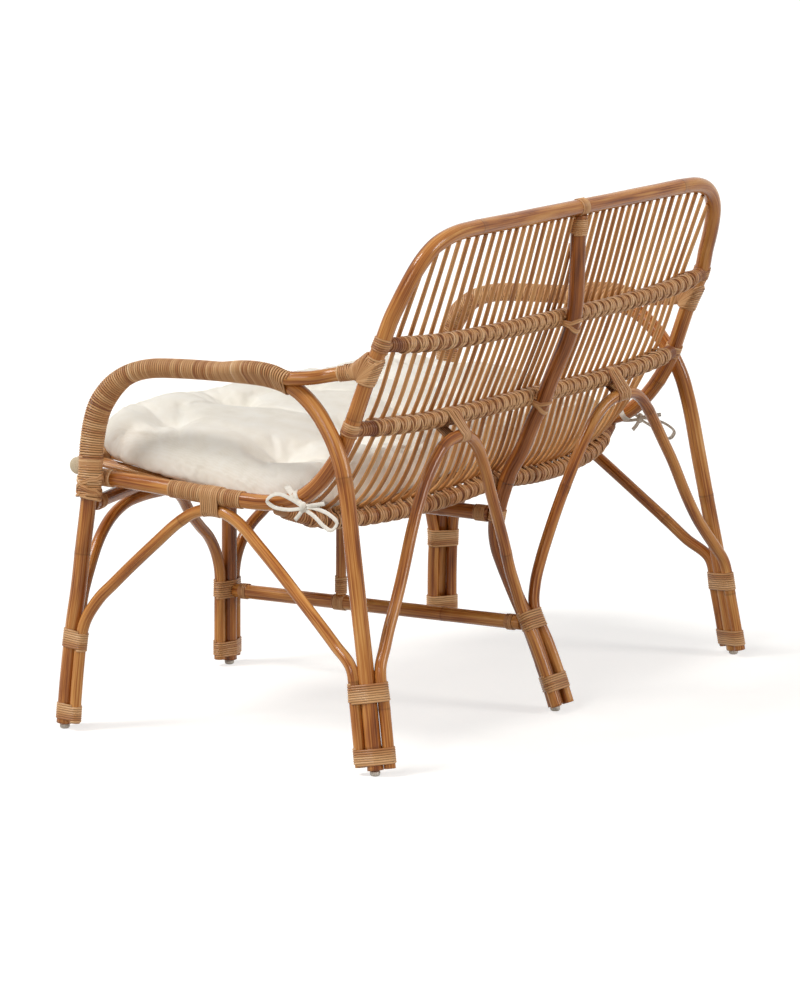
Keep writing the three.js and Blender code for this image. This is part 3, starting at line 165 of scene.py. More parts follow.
def piece(name, tubes, finish, *nodes):
    """One mesh from closed tubes. Each tube is a grid of rings: four-sided faces between one ring
    and the next, and a flat face over each end. It carries three attributes for its material:
    skin, the place on the unrolled surface; mark, the growth rings; and tone. A finish is a
    material and the slot that it stands for; only the material is put on the mesh."""
    points, faces, skin, mark, tone, smooth, first = [], [], [], [], [], [], 0
    for tube in tubes:
        rows, columns = tube["points"].shape[:2]
        index = np.arange(rows * columns).reshape(rows, columns) + first
        after = np.roll(index, -1, axis=1)
        quads = np.stack([index[:-1], after[:-1], after[1:], index[1:]], axis=-1).reshape(-1, 4)
        faces += quads.tolist() + [index[0, ::-1].tolist(), index[-1].tolist()]
        smooth += [True] * len(quads) + [False, False]
        points.append(tube["points"].reshape(-1, 3))
        skin.append(tube["skin"].reshape(-1, 3))
        mark.append(np.broadcast_to(tube["mark"], (rows, columns)).ravel())
        tone.append(np.broadcast_to(tube["tone"], (rows, columns)).ravel())
        first += rows * columns
    mesh = bpy.data.meshes.new(name)
    mesh.from_pydata(np.concatenate(points), [], faces)
    mesh.polygons.foreach_set("use_smooth", smooth)
    for key, kind, field, values in [
            ("skin", "FLOAT_VECTOR", "vector", skin), ("mark", "FLOAT", "value", mark),
            ("tone", "FLOAT", "value", tone)]:
        mesh.attributes.new(key, kind, "POINT").data.foreach_set(field, np.concatenate(values).ravel())
    mesh.materials.append(finish[0])
    made = bpy.data.objects.new(name, mesh)
    bpy.context.scene.collection.objects.link(made)
    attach(made, "root")
    if nodes:
        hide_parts(*nodes)


def pole_piece(name, line, radius, outward, seed, finish):
    """One pole as a piece of its own."""
    piece(name + "_pole", [pole(line, radius, outward, seed)], finish, name)


def pole_pair(name, kind, line, radius, outward, seed, sides=20):
    """The same pole on both sides of the sofa, each with growth rings and a tone of its own."""
    for side, way, luck in (("left", 1, seed), ("right", mirror, seed + 1)):
        piece(f"{name}_{kind}_{side}", [pole(line * way, radius, outward, luck, sides)], honey_pole,
              f"{name}_{side}")


def linear(code, alpha=1.0):
    """An sRGB hex colour as the linear light that a shader takes."""
    value = np.array([int(code[i:i + 2], 16) for i in (1, 3, 5)]) / 255
    value = np.where(value <= 0.04045, value / 12.92, ((value + 0.055) / 1.055) ** 2.4)
    return (*value.tolist(), alpha)


def node(material, kind, inputs=None, stops=(), **settings):
    """Adds a node with its settings, its typed values and its links. A node given as a value is
    linked from its first output. Stops are a colour ramp's places and hex colours."""
    made = material.node_tree.nodes.new("ShaderNode" + kind)
    for key, value in settings.items():
        setattr(made, key, value)
    for key, value in (inputs or {}).items():
        if isinstance(value, bpy.types.Node):
            value = value.outputs[0]
        if isinstance(value, bpy.types.NodeSocket):
            material.node_tree.links.new(value, made.inputs[key])
        else:
            made.inputs[key].default_value = value
    for _ in stops[2:]:
        made.color_ramp.elements.new(0.5)
    for number, (position, code) in enumerate(stops):
        made.color_ramp.elements[number].position = position
        made.color_ramp.elements[number].color = linear(code)
    return made


def blank(name):
    """A material with no nodes yet."""
    material = bpy.data.materials.new(name)
    material.use_nodes = True
    material.node_tree.nodes.clear()
    return material


def grain(material, fibre_scale, patch_scale, weights, shades):
    """Fine long fibres and broad patches on the unrolled skin. The colour is read off a ramp at
    the sum of fibre, patch and tone, each times its weight, less the last number."""
    skin = node(material, "Attribute", attribute_name="skin").outputs["Vector"]
    tone = node(material, "Attribute", attribute_name="tone").outputs["Fac"]
    stretched = node(material, "VectorMath", {0: skin, 1: fibre_scale}, operation="MULTIPLY")
    fibre = node(material, "TexNoise", {"Vector": stretched, "Scale": 1.0, "Detail": 3.0})
    stretched = node(material, "VectorMath", {0: skin, 1: patch_scale}, operation="MULTIPLY")
    patch = node(material, "TexNoise", {"Vector": stretched, "Scale": 1.0, "Detail": 2.0})
    mixed = node(material, "Math", {0: fibre, 1: weights[0], 2: -weights[0] / 2}, operation="MULTIPLY_ADD")
    for source, weight in ((patch, weights[1]), (tone, weights[2])):
        mixed = node(material, "Math", {0: source, 1: weight, 2: mixed}, operation="MULTIPLY_ADD")
    mixed = node(material, "Math", {0: mixed, 1: weights[3]}, operation="SUBTRACT")
    return skin, fibre, patch, node(material, "ValToRGB", {"Fac": mixed}, stops=shades)


def finish_of(material, slot, sockets):
    """Ends a material in a shader with these sockets, and pairs it with its slot."""
    shader = node(material, "BsdfPrincipled", sockets)
    node(material, "OutputMaterial", {"Surface": shader})
    return material, slot


def varnished_rattan(name, slot, shades, gloss):
    """Rattan pole with its skin on, sanded and sprayed with clear lacquer: long fine fibres, broad
    patches of warmer and darker brown, a thin dark line at each growth ring, and a satin gloss.
    Fibres are drawn 1 to 2 mm wide, coarser than the real ones, so that they show from a step
    away."""
    material = blank(name)
    fibre, patch, colour = grain(material, (520, 520, 7), (70, 70, 9), (1.1, 1.0, 0.55, 0.27), shades)[1:]
    mark = node(material, "Attribute", attribute_name="mark").outputs["Fac"]
    ringed = node(material, "Math", {0: mark, 1: 0.38}, operation="MULTIPLY", use_clamp=True)
    ringed = node(material, "Mix", {"Factor": ringed, 6: colour, 7: linear("#5a3213")}, data_type="RGBA")
    dull = node(material, "MapRange", {"Value": patch, 1: 0.3, 2: 0.7, 3: gloss - 0.06, 4: gloss + 0.1})
    bump = node(material, "Bump", {"Height": fibre, "Strength": 0.35, "Distance": 0.0006})
    return finish_of(material, slot, {
        "Base Color": ringed.outputs[2], "Roughness": dull, "Normal": bump, "IOR": 1.46,
        "Specular IOR Level": 0.22, "Coat Weight": 0.18, "Coat Roughness": 0.12})


honey_pole = varnished_rattan("varnished rattan pole", "rattan_pole", [
    (0.0, "#5c2c0c"), (0.3, "#935120"), (0.5, "#b87436"), (0.75, "#d29550"), (1.0, "#e8b57a")], 0.2)
arch_z = height(arch_shares[:, 1])
foot_z = -0.025                                      # lines run on below the floor and are cut there
arch_line = bend(np.vstack([
    [side_x(foot_z), at_depth(-1), foot_z], place(side_x(arch_z), arch_shares[:, 0], arch_shares[:, 1]),
    [side_x(foot_z), at_depth(-0.008), foot_z]]))
pole_pair("side_arch", "pole", cut_at(arch_line, foot_height), pole_radius, sideways, 3)

# Back hoop. One pole again: side rail of the seat, a bend, the side post, the top rail and the
# same down the other side. The maker bends it over a former before the arches are lashed to it.
rail_x = side_x(height(1.06)) - 2 * pole_radius - clear
post_x = side_x(height(1.51)) - 2 * pole_radius - clear
rail_rows = np.array([
    [0, -0.9462, 1.0406], [0, -0.8168, 1.0305], [0.1, -0.6723, 1.0102], [0.4, -0.521, 0.9961],
    [0.8, -0.4034, 0.9987], [1, -0.3277, 1.0508], [1, -0.2739, 1.1574], [1, -0.2185, 1.3452],
    [1, -0.1882, 1.4924], [1, -0.1664, 1.6396]])
post_rows = np.array([
    [0.995, -0.1109, 2.0756], [0.993, -0.0756, 2.2844], [0.9784, -0.0555, 2.4533],
    [0.9669, -0.0403, 2.5556], [0.9491, -0.0235, 2.6711], [0.9239, -0.0084, 2.7822],
    [0.8904, 0.0017, 2.8667], [0.8527, 0.0084, 2.9244], [0.8066, 0.0143, 2.9644],
    [0.7438, 0.0185, 2.9911], [0.66, 0.0202, 3], [0.44, 0.0202, 3], [0.22, 0.0202, 3]])
half_hoop = np.vstack([
    place(rail_x + (post_x - rail_x) * rail_rows[:, 0], rail_rows[:, 1], rail_rows[:, 2]),
    place(post_x * post_rows[:, 0], post_rows[:, 1], post_rows[:, 2])])
hoop_line = bend(np.vstack([half_hoop, half_hoop[-1] * (0, 1, 1), half_hoop[::-1] * mirror]))


def from_middle(line):
    """Outward from the hoop's inside: square to its plane's depth, away from its centre."""
    return unit(np.stack([line[:, 0], 0 * line[:, 0], line[:, 2] - 0.47], axis=1))


pole_piece("back_hoop", hoop_line, pole_radius, from_middle, 11, honey_pole)

# Spine. A darker pole nailed up under the top rail; it runs down behind the three bands, bends
# under the seat and goes on as the middle rear leg.
spine_rows = np.array([
    [0.0143, 2.8311], [0.0118, 2.56], [0.0084, 2.3467], [0.0017, 2.2044], [-0.0202, 2.0311],
    [-0.042, 1.8934], [-0.0672, 1.731], [-0.0891, 1.5635], [-0.1176, 1.3959], [-0.1563, 1.1371],
    [-0.1899, 0.9819], [-0.2134, 0.886], [-0.2252, 0.8264], [-0.2353, 0.7409], [-0.2286, 0.658],
    [-0.2134, 0.5984], [-0.1882, 0.5181], [-0.1647, 0.4482], [-0.1328, 0.3601], [-0.0622, 0.1088]])
dark_pole = varnished_rattan("dark varnished rattan pole", "dark_rattan_pole", [
    (0.0, "#431f0a"), (0.3, "#733d16"), (0.55, "#9c5c29"), (0.8, "#ba793d"), (1.0, "#cf965a")], 0.24)
top_half = hoop_line[hoop_line[:, 2] > arm_height]
top_middle = top_half[np.argmin(np.abs(top_half[:, 0]))]
spine_line = bend(np.vstack([
    top_middle, place(0, spine_rows[:, 0], spine_rows[:, 1]), [0, at_depth(-0.0218), foot_z]]))
pole_piece("back_spine", cut_at(spine_line, foot_height)[3:], pole_radius, sideways, 17, dark_pole)

# Middle front leg. A short straight pole of the darker rattan stands under the middle of the
# front rail; the lashings on the braces and the stretcher hold it.
front_rail_z, front_rail_radius = height(1.132), 0.0135
front_leg_ends = np.array([[0, front_y, foot_height], [0, front_y, front_rail_z - front_rail_radius]])
pole_piece("middle_front_leg", even(front_leg_ends, 0.01), pole_radius, sideways, 23, dark_pole)

# Lower front rail, the centre rail, the stretcher and its strut: bare poles that tie the legs
# together below the seat, nailed through and lashed where they meet.
def near_level(line, z, rear=None):
    """The point of a line nearest to a height, on its rear or its front run."""
    miss = np.abs(line[:, 2] - z)
    if rear is not None:
        miss = miss + ((line[:, 1] > at_depth(-0.5)) != rear)
    return line[np.argmin(miss)]


def bowed(half_length, end_y, middle_y, z):
    """A rail bowed forward in plan as a parabola."""
    share = np.linspace(-1, 1, 17)
    y = middle_y + (end_y - middle_y) * share**2
    return bend(np.stack([share * half_length, y, 0 * share + z], axis=1))


lower_rail_radius, centre_rail_radius, stretcher_radius, strut_radius = 0.011, 0.012, 0.0115, 0.0085
lower_end = near_level(arch_line, height(0.912), False)
lower_rail_line = bowed(lower_end[0] - 0.01, lower_end[1], front_y + pole_radius + lower_rail_radius + clear,
                        lower_end[2])
pole_piece("front_lower_rail", lower_rail_line, lower_rail_radius, upward, 29, dark_pole)
centre_z = height(0.7876)
centre_rail_line = even(np.array([
    [0, front_y + pole_radius, centre_z], near_level(spine_line, centre_z) - (0, pole_radius, 0)]), 0.01)
pole_piece("seat_centre_rail", centre_rail_line, centre_rail_radius, upward, 31, dark_pole)
stretcher_ends = np.array([[0, front_y, height(0.3238)], near_level(spine_line, height(0.3497))])
stretcher_line = even(stretcher_ends + [[0, pole_radius, 0], [0, -pole_radius, 0]], 0.01)
pole_piece("stretcher", stretcher_line, stretcher_radius, upward, 37, honey_pole)
strut_y = at_depth(-0.7328)
strut_low = np.interp(strut_y, stretcher_ends[:, 1], stretcher_ends[:, 2])
strut_line = even(np.array([[0, strut_y, strut_low + 0.0112], [0, strut_y, centre_z - 0.0117]]), 0.01)
pole_piece("stretcher_strut", strut_line, strut_radius, sideways, 41, honey_pole)

# Braces. Thin whole canes, 18.6 mm thick, bent to an arch. Each end runs down beside a leg and is
# lashed to it, so that every foot is a bundle of three.
leg_levels = np.array([-0.06, 0.026, 0.15, 0.27, 0.41])
short_levels = np.array([-0.06, 0.026, 0.15, 0.27, 0.38])


def beside(line, rear, way, levels):
    """Points beside a leg, from the foot up: its centre line moved out until the two touch."""
    way = np.append(unit(np.array(way, float)), 0) * (pole_radius + cane_radius + clear)
    spots = np.array([near_level(line, z, rear) for z in height(levels)])
    return np.column_stack([spots[:, :2], height(levels)]) + way


def brace_line(first, rows, last):
    """A brace: up beside one leg, through the rows of its arch and down beside the other. The rows
    give x in halves of the foot span, a share of the depth and a level."""
    rows = np.array(rows)
    return bend(np.vstack([first, place(rows[:, 0] * foot_span / 2, rows[:, 1], rows[:, 2]), last[::-1]]))


front_leg_full = even(np.array([[0, front_y, -0.03], [0, front_y, front_rail_z]]), 0.004)
side_brace_line = brace_line(
    beside(arch_line, False, (0.18, 0.98), leg_levels), [
        [0.976, -0.9361, 0.4663], [0.9593, -0.9042, 0.5492], [0.95, -0.8739, 0.5984],
        [0.937, -0.8252, 0.6762], [0.9185, -0.7496, 0.7902], [0.9074, -0.6891, 0.8756],
        [0.9, -0.6387, 0.9249], [0.8963, -0.5882, 0.943], [0.8972, -0.5462, 0.9352],
        [0.9019, -0.4958, 0.899], [0.9148, -0.4252, 0.8187], [0.9278, -0.3546, 0.7332],
        [0.9425, -0.284, 0.6451], [0.9574, -0.2134, 0.557], [0.9685, -0.1597, 0.487]],
    beside(arch_line, True, (0.32, -0.95), leg_levels))
rear_brace_line = brace_line(
    beside(arch_line, True, (-0.54, 0.84), leg_levels), [
        [0.9156, -0.0403, 0.487], [0.8804, -0.0496, 0.5492], [0.836, -0.0583, 0.6269],
        [0.7841, -0.0667, 0.7383], [0.7211, -0.0768, 0.8938], [0.6785, -0.0835, 0.9845],
        [0.6369, -0.0876, 1.132], [0.5898, -0.0884, 1.2843], [0.53, -0.0884, 1.4112],
        [0.45, -0.0874, 1.4518], [0.3796, -0.0975, 1.4061], [0.3241, -0.1059, 1.2995],
        [0.2741, -0.1143, 1.1218], [0.2222, -0.1237, 0.9456], [0.1722, -0.1311, 0.829],
        [0.126, -0.1366, 0.7124], [0.0852, -0.1415, 0.5959], [0.0537, -0.1398, 0.5052]],
    beside(spine_line, None, (0.815, 0.58), leg_levels))
front_brace_line = brace_line(
    beside(arch_line, False, (-1, 0.02), short_levels), [
        [0.937, -0.9882, 0.4275], [0.9148, -0.9916, 0.5311], [0.8704, -0.9983, 0.6347],
        [0.8074, -1.0084, 0.7383], [0.7407, -1.0151, 0.8083], [0.6574, -1.0218, 0.8497],
        [0.5648, -1.0286, 0.8601], [0.4722, -1.0353, 0.8575], [0.3796, -1.0487, 0.8446],
        [0.3056, -1.0655, 0.7902], [0.2371, -1.0807, 0.7047], [0.1704, -1.0941, 0.6373],
        [0.1074, -1.1042, 0.5751], [0.063, -1.1092, 0.4974]],
    beside(front_leg_full, None, (0.98, -0.18), leg_levels))
cane_foot = 0.0113                                   # the canes end a little higher than the legs
for name, line, outward, seed in [
        ("side_brace", side_brace_line, sideways, 47), ("rear_brace", rear_brace_line, rearward, 53),
        ("front_brace", front_brace_line, rearward, 59)]:
    pole_pair(name, "cane", cut_at(line, cane_foot), cane_radius, outward, seed, sides=16)

# Arm extensions. A thinner pole starts under the arm, is bound in with it, comes out beside it,
# and crosses over the arch to the hoop's post, where it is nailed. The rows give its place from
# the arm's middle in steps of both radii, outward and up, and its share of the frame's depth.
extension_radius = 0.0107
arm_x = side_x(arm_height)
beside_arm = pole_radius + extension_radius + clear
extension_rows = np.array([
    [0, -0.6, 0], [0.4, -0.53, 0.182], [0.8, -0.465, 0.46], [1, -0.405, 0.545], [1, -0.36, 0.412],
    [1, -0.3259, 0.177], [0.67, -0.2929, 0.196], [0.22, -0.2622, 0.242], [-0.33, -0.24, 0.332],
    [-0.72, -0.2111, 0.488]])
joint_z = height(2.1)
on_post = hoop_line[np.argmin(np.abs(hoop_line[:, 2] - joint_z) + (hoop_line[:, 0] < 0))]
extension_line = bend(np.vstack([np.stack([
    arm_x + 0.77 * beside_arm * extension_rows[:, 0], at_depth(extension_rows[:, 1]),
    arm_height + beside_arm * extension_rows[:, 2]], axis=1), on_post]))
extension_shown = extension_line[np.linalg.norm(extension_line - on_post, axis=1) > pole_radius - 0.001]
extension_shown = extension_shown[extension_shown[:, 1] > at_depth(-0.44)]
pole_pair("arm_extension", "pole", extension_shown, extension_radius, upward, 61)

# Bands. Three poles bowed across the back carry the thin canes. Each thin cane is bound to them
# by turns of split peel drawn slantwise over the cane, with one turn crossing the other way.
band_radius, slat_radius, lashed_radius = 0.011, 0.003, 0.0135


def across(line, x):
    """Where a line that runs from side to side passes each x, and its direction there."""
    order = np.argsort(line[:, 0])
    x = np.asarray(x, float)
    run = unit(np.gradient(line[order], axis=0))
    spot = np.stack([x] + [np.interp(x, line[order, 0], line[order, k]) for k in (1, 2)], axis=-1)
    return spot, unit(np.stack([np.interp(x, line[order, 0], run[:, k]) for k in range(3)], axis=-1))


def band_line(rows, end_share, half_length):
    """A bowed band: level and bow from the rows, its middle just in front of the spine."""
    rows = np.array(rows)
    middle_at = np.argmin(np.abs(spine_line[:, 2] - height(rows[-1, 2])))
    lean = np.abs(unit(np.gradient(spine_line, axis=0))[middle_at, 2])
    middle_y = spine_line[middle_at, 1] - (pole_radius + band_radius + clear) / lean
    end_y = at_depth(end_share)
    bow = end_y + (middle_y - end_y) * rows[:, 1]
    half = np.stack([rows[:, 0] * half_length, bow, height(rows[:, 2])], axis=1)
    return bend(np.vstack([half, half[-2::-1] * mirror]))


upper_band_line = band_line([
    [1, 0, 2.2844], [0.88, 0.41, 2.2533], [0.7, 0.68, 2.2267], [0.45, 0.86, 2.2133],
    [0, 1, 2.2133]], -0.0756, post_x)
lower_band_line = band_line([
    [1, 0, 1.6396], [0.88, 0.52, 1.6193], [0.7, 0.8, 1.5939], [0.45, 0.92, 1.5787],
    [0, 1, 1.5838]], -0.1664, post_x)
seat_band_line = band_line([
    [1, -0.05, 0.985], [0.95, 0.04, 0.958], [0.82, 0.3, 0.9093], [0.55, 0.66, 0.8912],
    [0.28, 0.93, 0.9016], [0, 1, 0.9249]], -0.3697, post_x + pole_radius)

# Thin canes, 7.2 mm across, 19 in each half of the seat and wider apart towards the sides. Each
# runs from under the top rail down in front of the bands, bends and goes forward to the front
# rail. One more lies in the middle, and three short ones fill the seat beside each side rail.
front_end = near_level(arch_line, front_rail_z, False)
front_rail_line = bowed(0.937 * foot_span / 2, front_end[1] - pole_radius - front_rail_radius - clear,
                        front_y, front_rail_z)
slat_first = pole_radius + 0.0018 + slat_radius + clear
slat_last = post_x - pole_radius - slat_radius - 0.041
slat_share = np.linspace(0, 1, 19)
slat_x = slat_first + (slat_last - slat_first) * (0.87 * slat_share + 0.13 * slat_share**3)


def before_band(line, x, start, end):
    """A cane's place before a band: out from the band's axis, square to the cane's own run, by
    both radii and a little more where the band slants."""
    spot, way = across(line, x)
    front = unit(np.cross(unit(end - start), [1, 0, 0]))
    lean = np.abs((front * way).sum(-1, keepdims=True))
    reach = (lashed_radius + slat_radius + clear) / np.sqrt(1 - lean**2)
    return spot + front * (reach + slat_radius * lean / np.abs(way[:, :1]))


def short_of(radius, axis_point, along, start):
    """A cane's end against a pole: back from the pole's axis by its radius over the sine of the
    angle between them."""
    run = unit(start - axis_point)
    sine = np.linalg.norm(np.cross(run, along), axis=-1, keepdims=True)
    return axis_point + run * np.minimum((radius + clear) / sine, 3 * radius)


cane_top, cane_top_way = across(top_half[np.abs(top_half[:, 0]) < post_x * 0.993], slat_x)
on_upper, on_lower = across(upper_band_line, slat_x)[0], across(lower_band_line, slat_x)[0]
on_seat, on_front = across(seat_band_line, slat_x * 1.01)[0], across(front_rail_line, slat_x * 1.027)[0]
cane_upper = before_band(upper_band_line, slat_x, cane_top, on_lower)
cane_lower = before_band(lower_band_line, slat_x, on_upper, on_seat)
turned = unit(on_front - on_seat) + unit(on_seat - on_lower)
cane_rear = before_band(seat_band_line, slat_x * 1.01, on_seat, on_seat + turned)
cane_middle = cane_rear + 0.45 * (on_front - cane_rear) - [0, 0, 0.012 * frame_depth]
cane_end = short_of(front_rail_radius, on_front, np.array([[1.0, 0, 0]]), cane_middle)
cane_start = short_of(pole_radius, cane_top, cane_top_way, cane_upper)
cane_rows = np.stack([cane_start, cane_upper, cane_lower, cane_rear, cane_middle, cane_end], axis=1)
cane_lines = [bend(rows, 0.016) for rows in cane_rows]
# The middle cane is nailed to the spine, and shows where it comes out in front of it.
middle_line = bend(cane_rows[0] * (0, 1, 1), 0.016)
from_spine = np.linalg.norm(middle_line[:, None] - spine_line, axis=2).min(axis=1)
side_gaps = np.array([[0.0105], [0.0195], [0.0285]]) * [1, 0, 0]
left_lines = cane_lines + [bend(rows, 0.016) for rows in cane_rows[-1, 3:] + side_gaps[:, None]]
right_lines = [line * mirror for line in left_lines]
left_lines.append(middle_line[from_spine > pole_radius])
# Thin canes come out paler and duller than the poles.
thin_cane = varnished_rattan("varnished thin rattan cane", "slat_cane", [
    (0.0, "#75441f"), (0.3, "#aa6f3b"), (0.55, "#c88e55"), (0.8, "#dca76d"), (1.0, "#eabd84")], 0.28)


def thin_pole(line, seed):
    """A thin cane: eight-sided circles along its line, with a tone of its own."""
    luck = np.random.default_rng(seed)
    run = lengths(line)[:, None]
    first, second = frames(line, sideways)[1:]
    turn = np.linspace(0, 2 * np.pi, 8, endpoint=False)
    r = 1.2 * slat_radius * (1 + 0.03 * np.sin(run * 31 + seed))
    x, y = r * np.cos(turn), r * np.sin(turn)
    points = line[:, None] + x[..., None] * first[:, None] + y[..., None] * second[:, None]
    skin = np.stack([x, y, np.broadcast_to(run + 1.9 * seed, x.shape)], axis=-1)
    knot = run[-1] * luck.uniform(0.1, 0.9, 3)
    mark = 0.7 * np.exp(-((run - knot) / 0.004) ** 2).sum(1, keepdims=True)
    return {"points": points, "skin": skin, "mark": mark, "tone": 0.5 + luck.uniform(-0.3, 0.3)}


for side, lines, seed in (("left", left_lines, 100), ("right", right_lines, 200)):
    piece("thin_canes_" + side, [thin_pole(line, seed + i) for i, line in enumerate(lines)], thin_cane,
          "slat_mat_" + side)

# Split peel. The shiny outside of the rattan is split off in strips about 4 mm wide, soaked, and
# wound tight round every joint; it dries paler than the poles. The strips' edges are darkened as
# painted shade for the crevices between turns.
peel = blank("split rattan peel")
skin, fibre, patch, colour = grain(peel, (1100, 200, 12), (30, 30, 14), (0.4, 0.6, 0.7, 0.15), [
    (0.0, "#7c4520"), (0.25, "#aa7040"), (0.5, "#c89460"), (0.75, "#dcae7c"), (1.0, "#efcda2")])
# Each strip's edges are mixed towards dark brown: painted shade for the crevices between turns.
off_middle = node(peel, "Math", {0: node(peel, "SeparateXYZ", {0: skin})}, operation="ABSOLUTE")
edge = node(peel, "MapRange", {"Value": off_middle, 1: 0.0008, 2: 0.0019, 3: 0.0, 4: 0.55})
crevice_shaded = node(peel, "Mix", {"Factor": edge, 6: colour, 7: linear("#70401c")}, data_type="RGBA")
bump = node(peel, "Bump", {"Height": fibre, "Strength": 0.4, "Distance": 0.0005})
peel = finish_of(peel, "rattan_peel", {
    "Base Color": crevice_shaded.outputs[2], "Roughness": 0.42, "Normal": bump, "IOR": 1.5,
    "Specular IOR Level": 0.35, "Coat Weight": 0.1, "Coat Roughness": 0.2})
# Across the strip and out from the pole, in half widths and thicknesses: domed above, nearly flat
# below.
strip_section = np.array([[1, -0.1], [0.7, 0.72], [0, 1.1], [-0.7, 0.72], [-1, -0.1], [0, -0.35]])
slack = 0.0002                                       # the strip's middle lies this far off the pole


def round_circles(x, y, r, turn):
    """The tight outline round several circles: at each angle, the point of the circle that
    reaches farthest that way."""
    way = np.stack([np.cos(turn), np.sin(turn)], axis=-1)
    reach = x * way[..., 0] + y * way[..., 1] + r
    best = np.argmax(reach, axis=0)
    pick = np.arange(reach.shape[1])
    r = np.broadcast_to(r, reach.shape)
    return x[best, pick] + r[best, pick] * way[:, 0], y[best, pick] + r[best, pick] * way[:, 1]


def strip(centre, axes, x, y, turn, width, thick, tone, lift=0.0):
    """A strip of peel along an outline: its section set across the run and out from the pole."""
    first, second = axes[1:]
    out = np.cos(turn)[:, None] * first + np.sin(turn)[:, None] * second
    middle = centre + x[:, None] * first + y[:, None] * second + lift * out
    run = unit(np.gradient(middle, axis=0))
    side = unit(np.cross(out, run))
    out = np.cross(run, side)
    a, o = strip_section[:, 0] * width / 2, strip_section[:, 1] * thick
    points = middle[:, None] + a[None, :, None] * side[:, None] + o[None, :, None] * out[:, None]
    from_start = lengths(middle)[:, None] + 7 * turn[0]
    skin = np.stack(np.broadcast_arrays(a[None, :], o[None, :], from_start), axis=-1)
    return {"points": points, "skin": skin, "mark": 0.0, "tone": np.reshape(tone, (-1, 1))}


def turn_tones(luck, turn, turns, spread):
    """A tone for each turn, running over into the next one's."""
    return np.interp(turn / (2 * np.pi), np.arange(turns + 2), 0.5 + luck.normal(0, spread, turns + 2))


def wound(guide, radius, start, end, seed, others=(), outward=sideways, pitch=0.004, steps=14, tip=0.0,
          thick=0.0015):
    """Peel wound round a pole, and round the poles that run beside it: a screw line whose place
    along the guide grows by the pitch in each turn, on the tight outline of all the poles. A tip
    leans the turns: it moves the place to and fro by the sine of the turn."""
    luck = np.random.default_rng(seed)
    turns = max(2, round((end - start) / pitch))
    turn = np.linspace(0, 2 * np.pi * turns, turns * steps + 1)
    s = start + pitch / 2 + (end - start - pitch) * turn / turn[-1] + tip * np.sin(turn)
    axes = [unit(at_lengths(guide, s, way)) for way in frames(guide, outward)]
    centre = at_lengths(guide, s)
    x, y, r = [np.zeros(len(s))], [np.zeros(len(s))], [np.full(len(s), radius)]
    pick = np.arange(len(s))
    for line, other_radius in others:                # where it passes the turn's plane within 6 mm
        away = line[None] - centre[:, None]
        ahead = np.abs((away * axes[0][:, None]).sum(-1)) + 0.2 * np.linalg.norm(away, axis=-1)
        spot = away[pick, np.argmin(ahead, axis=1)]
        there = np.abs((spot * axes[0]).sum(-1)) < 0.006
        x.append((spot * axes[1]).sum(-1))
        y.append((spot * axes[2]).sum(-1))
        r.append(np.where(there, other_radius, -1.0))
    px, py = round_circles(np.array(x), np.array(y), np.array(r) + slack, turn)
    tone = turn_tones(luck, turn, turns, 0.22)
    return strip(centre, axes, px, py, turn, abs(end - start) / turns, thick, tone)


def reflected(tube):
    """The same tube on the other side, its rings turned about so that its faces stay outside."""
    shape = tube["points"].shape[:2]
    marks = {key: np.broadcast_to(tube[key], shape)[:, ::-1] for key in ("mark", "tone")}
    return {"points": (tube["points"] * mirror)[:, ::-1], "skin": tube["skin"][:, ::-1], **marks}


def both_sides(name, tubes, finish, stands_for):
    """A piece on the left as made, and its mirror image on the right."""
    piece(name + "_left", tubes, finish, stands_for + "_left")
    piece(name + "_right", [reflected(tube) for tube in tubes], finish, stands_for + "_right")


def cane_ties(line, cane_at, seed):
    """The turns that bind each thin cane to a band. One turn is a flat ring round band and cane,
    tipped along the band by a sine of its angle; three lean one way, one crosses them. The rows
    give each turn's place along the band, its tip, its lift off the band and its width."""
    luck = np.random.default_rng(seed)
    turn = np.concatenate([np.linspace(-np.pi, -1.2, 6, endpoint=False), np.linspace(-1.2, 1.2, 9),
                           np.linspace(1.2, np.pi, 7)[1:]])
    made = []
    for at in cane_at:
        spot, way = across(line, at[:1])
        front = unit(at - spot[0] - ((at - spot[0]) * way[0]).sum() * way[0])
        reach = np.linalg.norm(at - spot[0])
        for offset, tip, lift, wide in [
                (0.0062, -0.0035, 0.0, 0.0045), (-0.0058, 0.0062, 0.0003, 0.0052),
                (-0.0012, 0.0062, 0.0008, 0.0056), (0.0036, 0.0062, 0.0004, 0.0052)]:
            slide = offset + tip * np.sin(turn) + luck.normal(0, 0.0003)
            x = np.array([np.zeros(len(turn)), np.full(len(turn), reach)])
            past_cane = np.abs(slide) > 0.0062
            over_cane = np.where(past_cane, -1.0, slat_radius + slack)
            r = np.array([np.full(len(turn), band_radius + 0.0007), over_cane])
            px, py = round_circles(x, 0 * x, r, turn)
            centre = spot + slide[:, None] * way
            axes = [np.broadcast_to(v, centre.shape) for v in (way[0], front, np.cross(way[0], front))]
            tone = 0.66 + luck.normal(0, 0.16)
            made.append(strip(centre, axes, px, py, turn, wide, 0.0014, tone, lift))
    return made


def ring(line, radius, s, length, seed, **more):
    """A short winding with its middle at length s of the line."""
    return wound(line, radius, s - length / 2, s + length / 2, seed, **more)


def nearest_length(line, spot):
    """The length run along a line to its point nearest to a spot."""
    return lengths(line)[np.argmin(np.linalg.norm(line - spot, axis=1))]
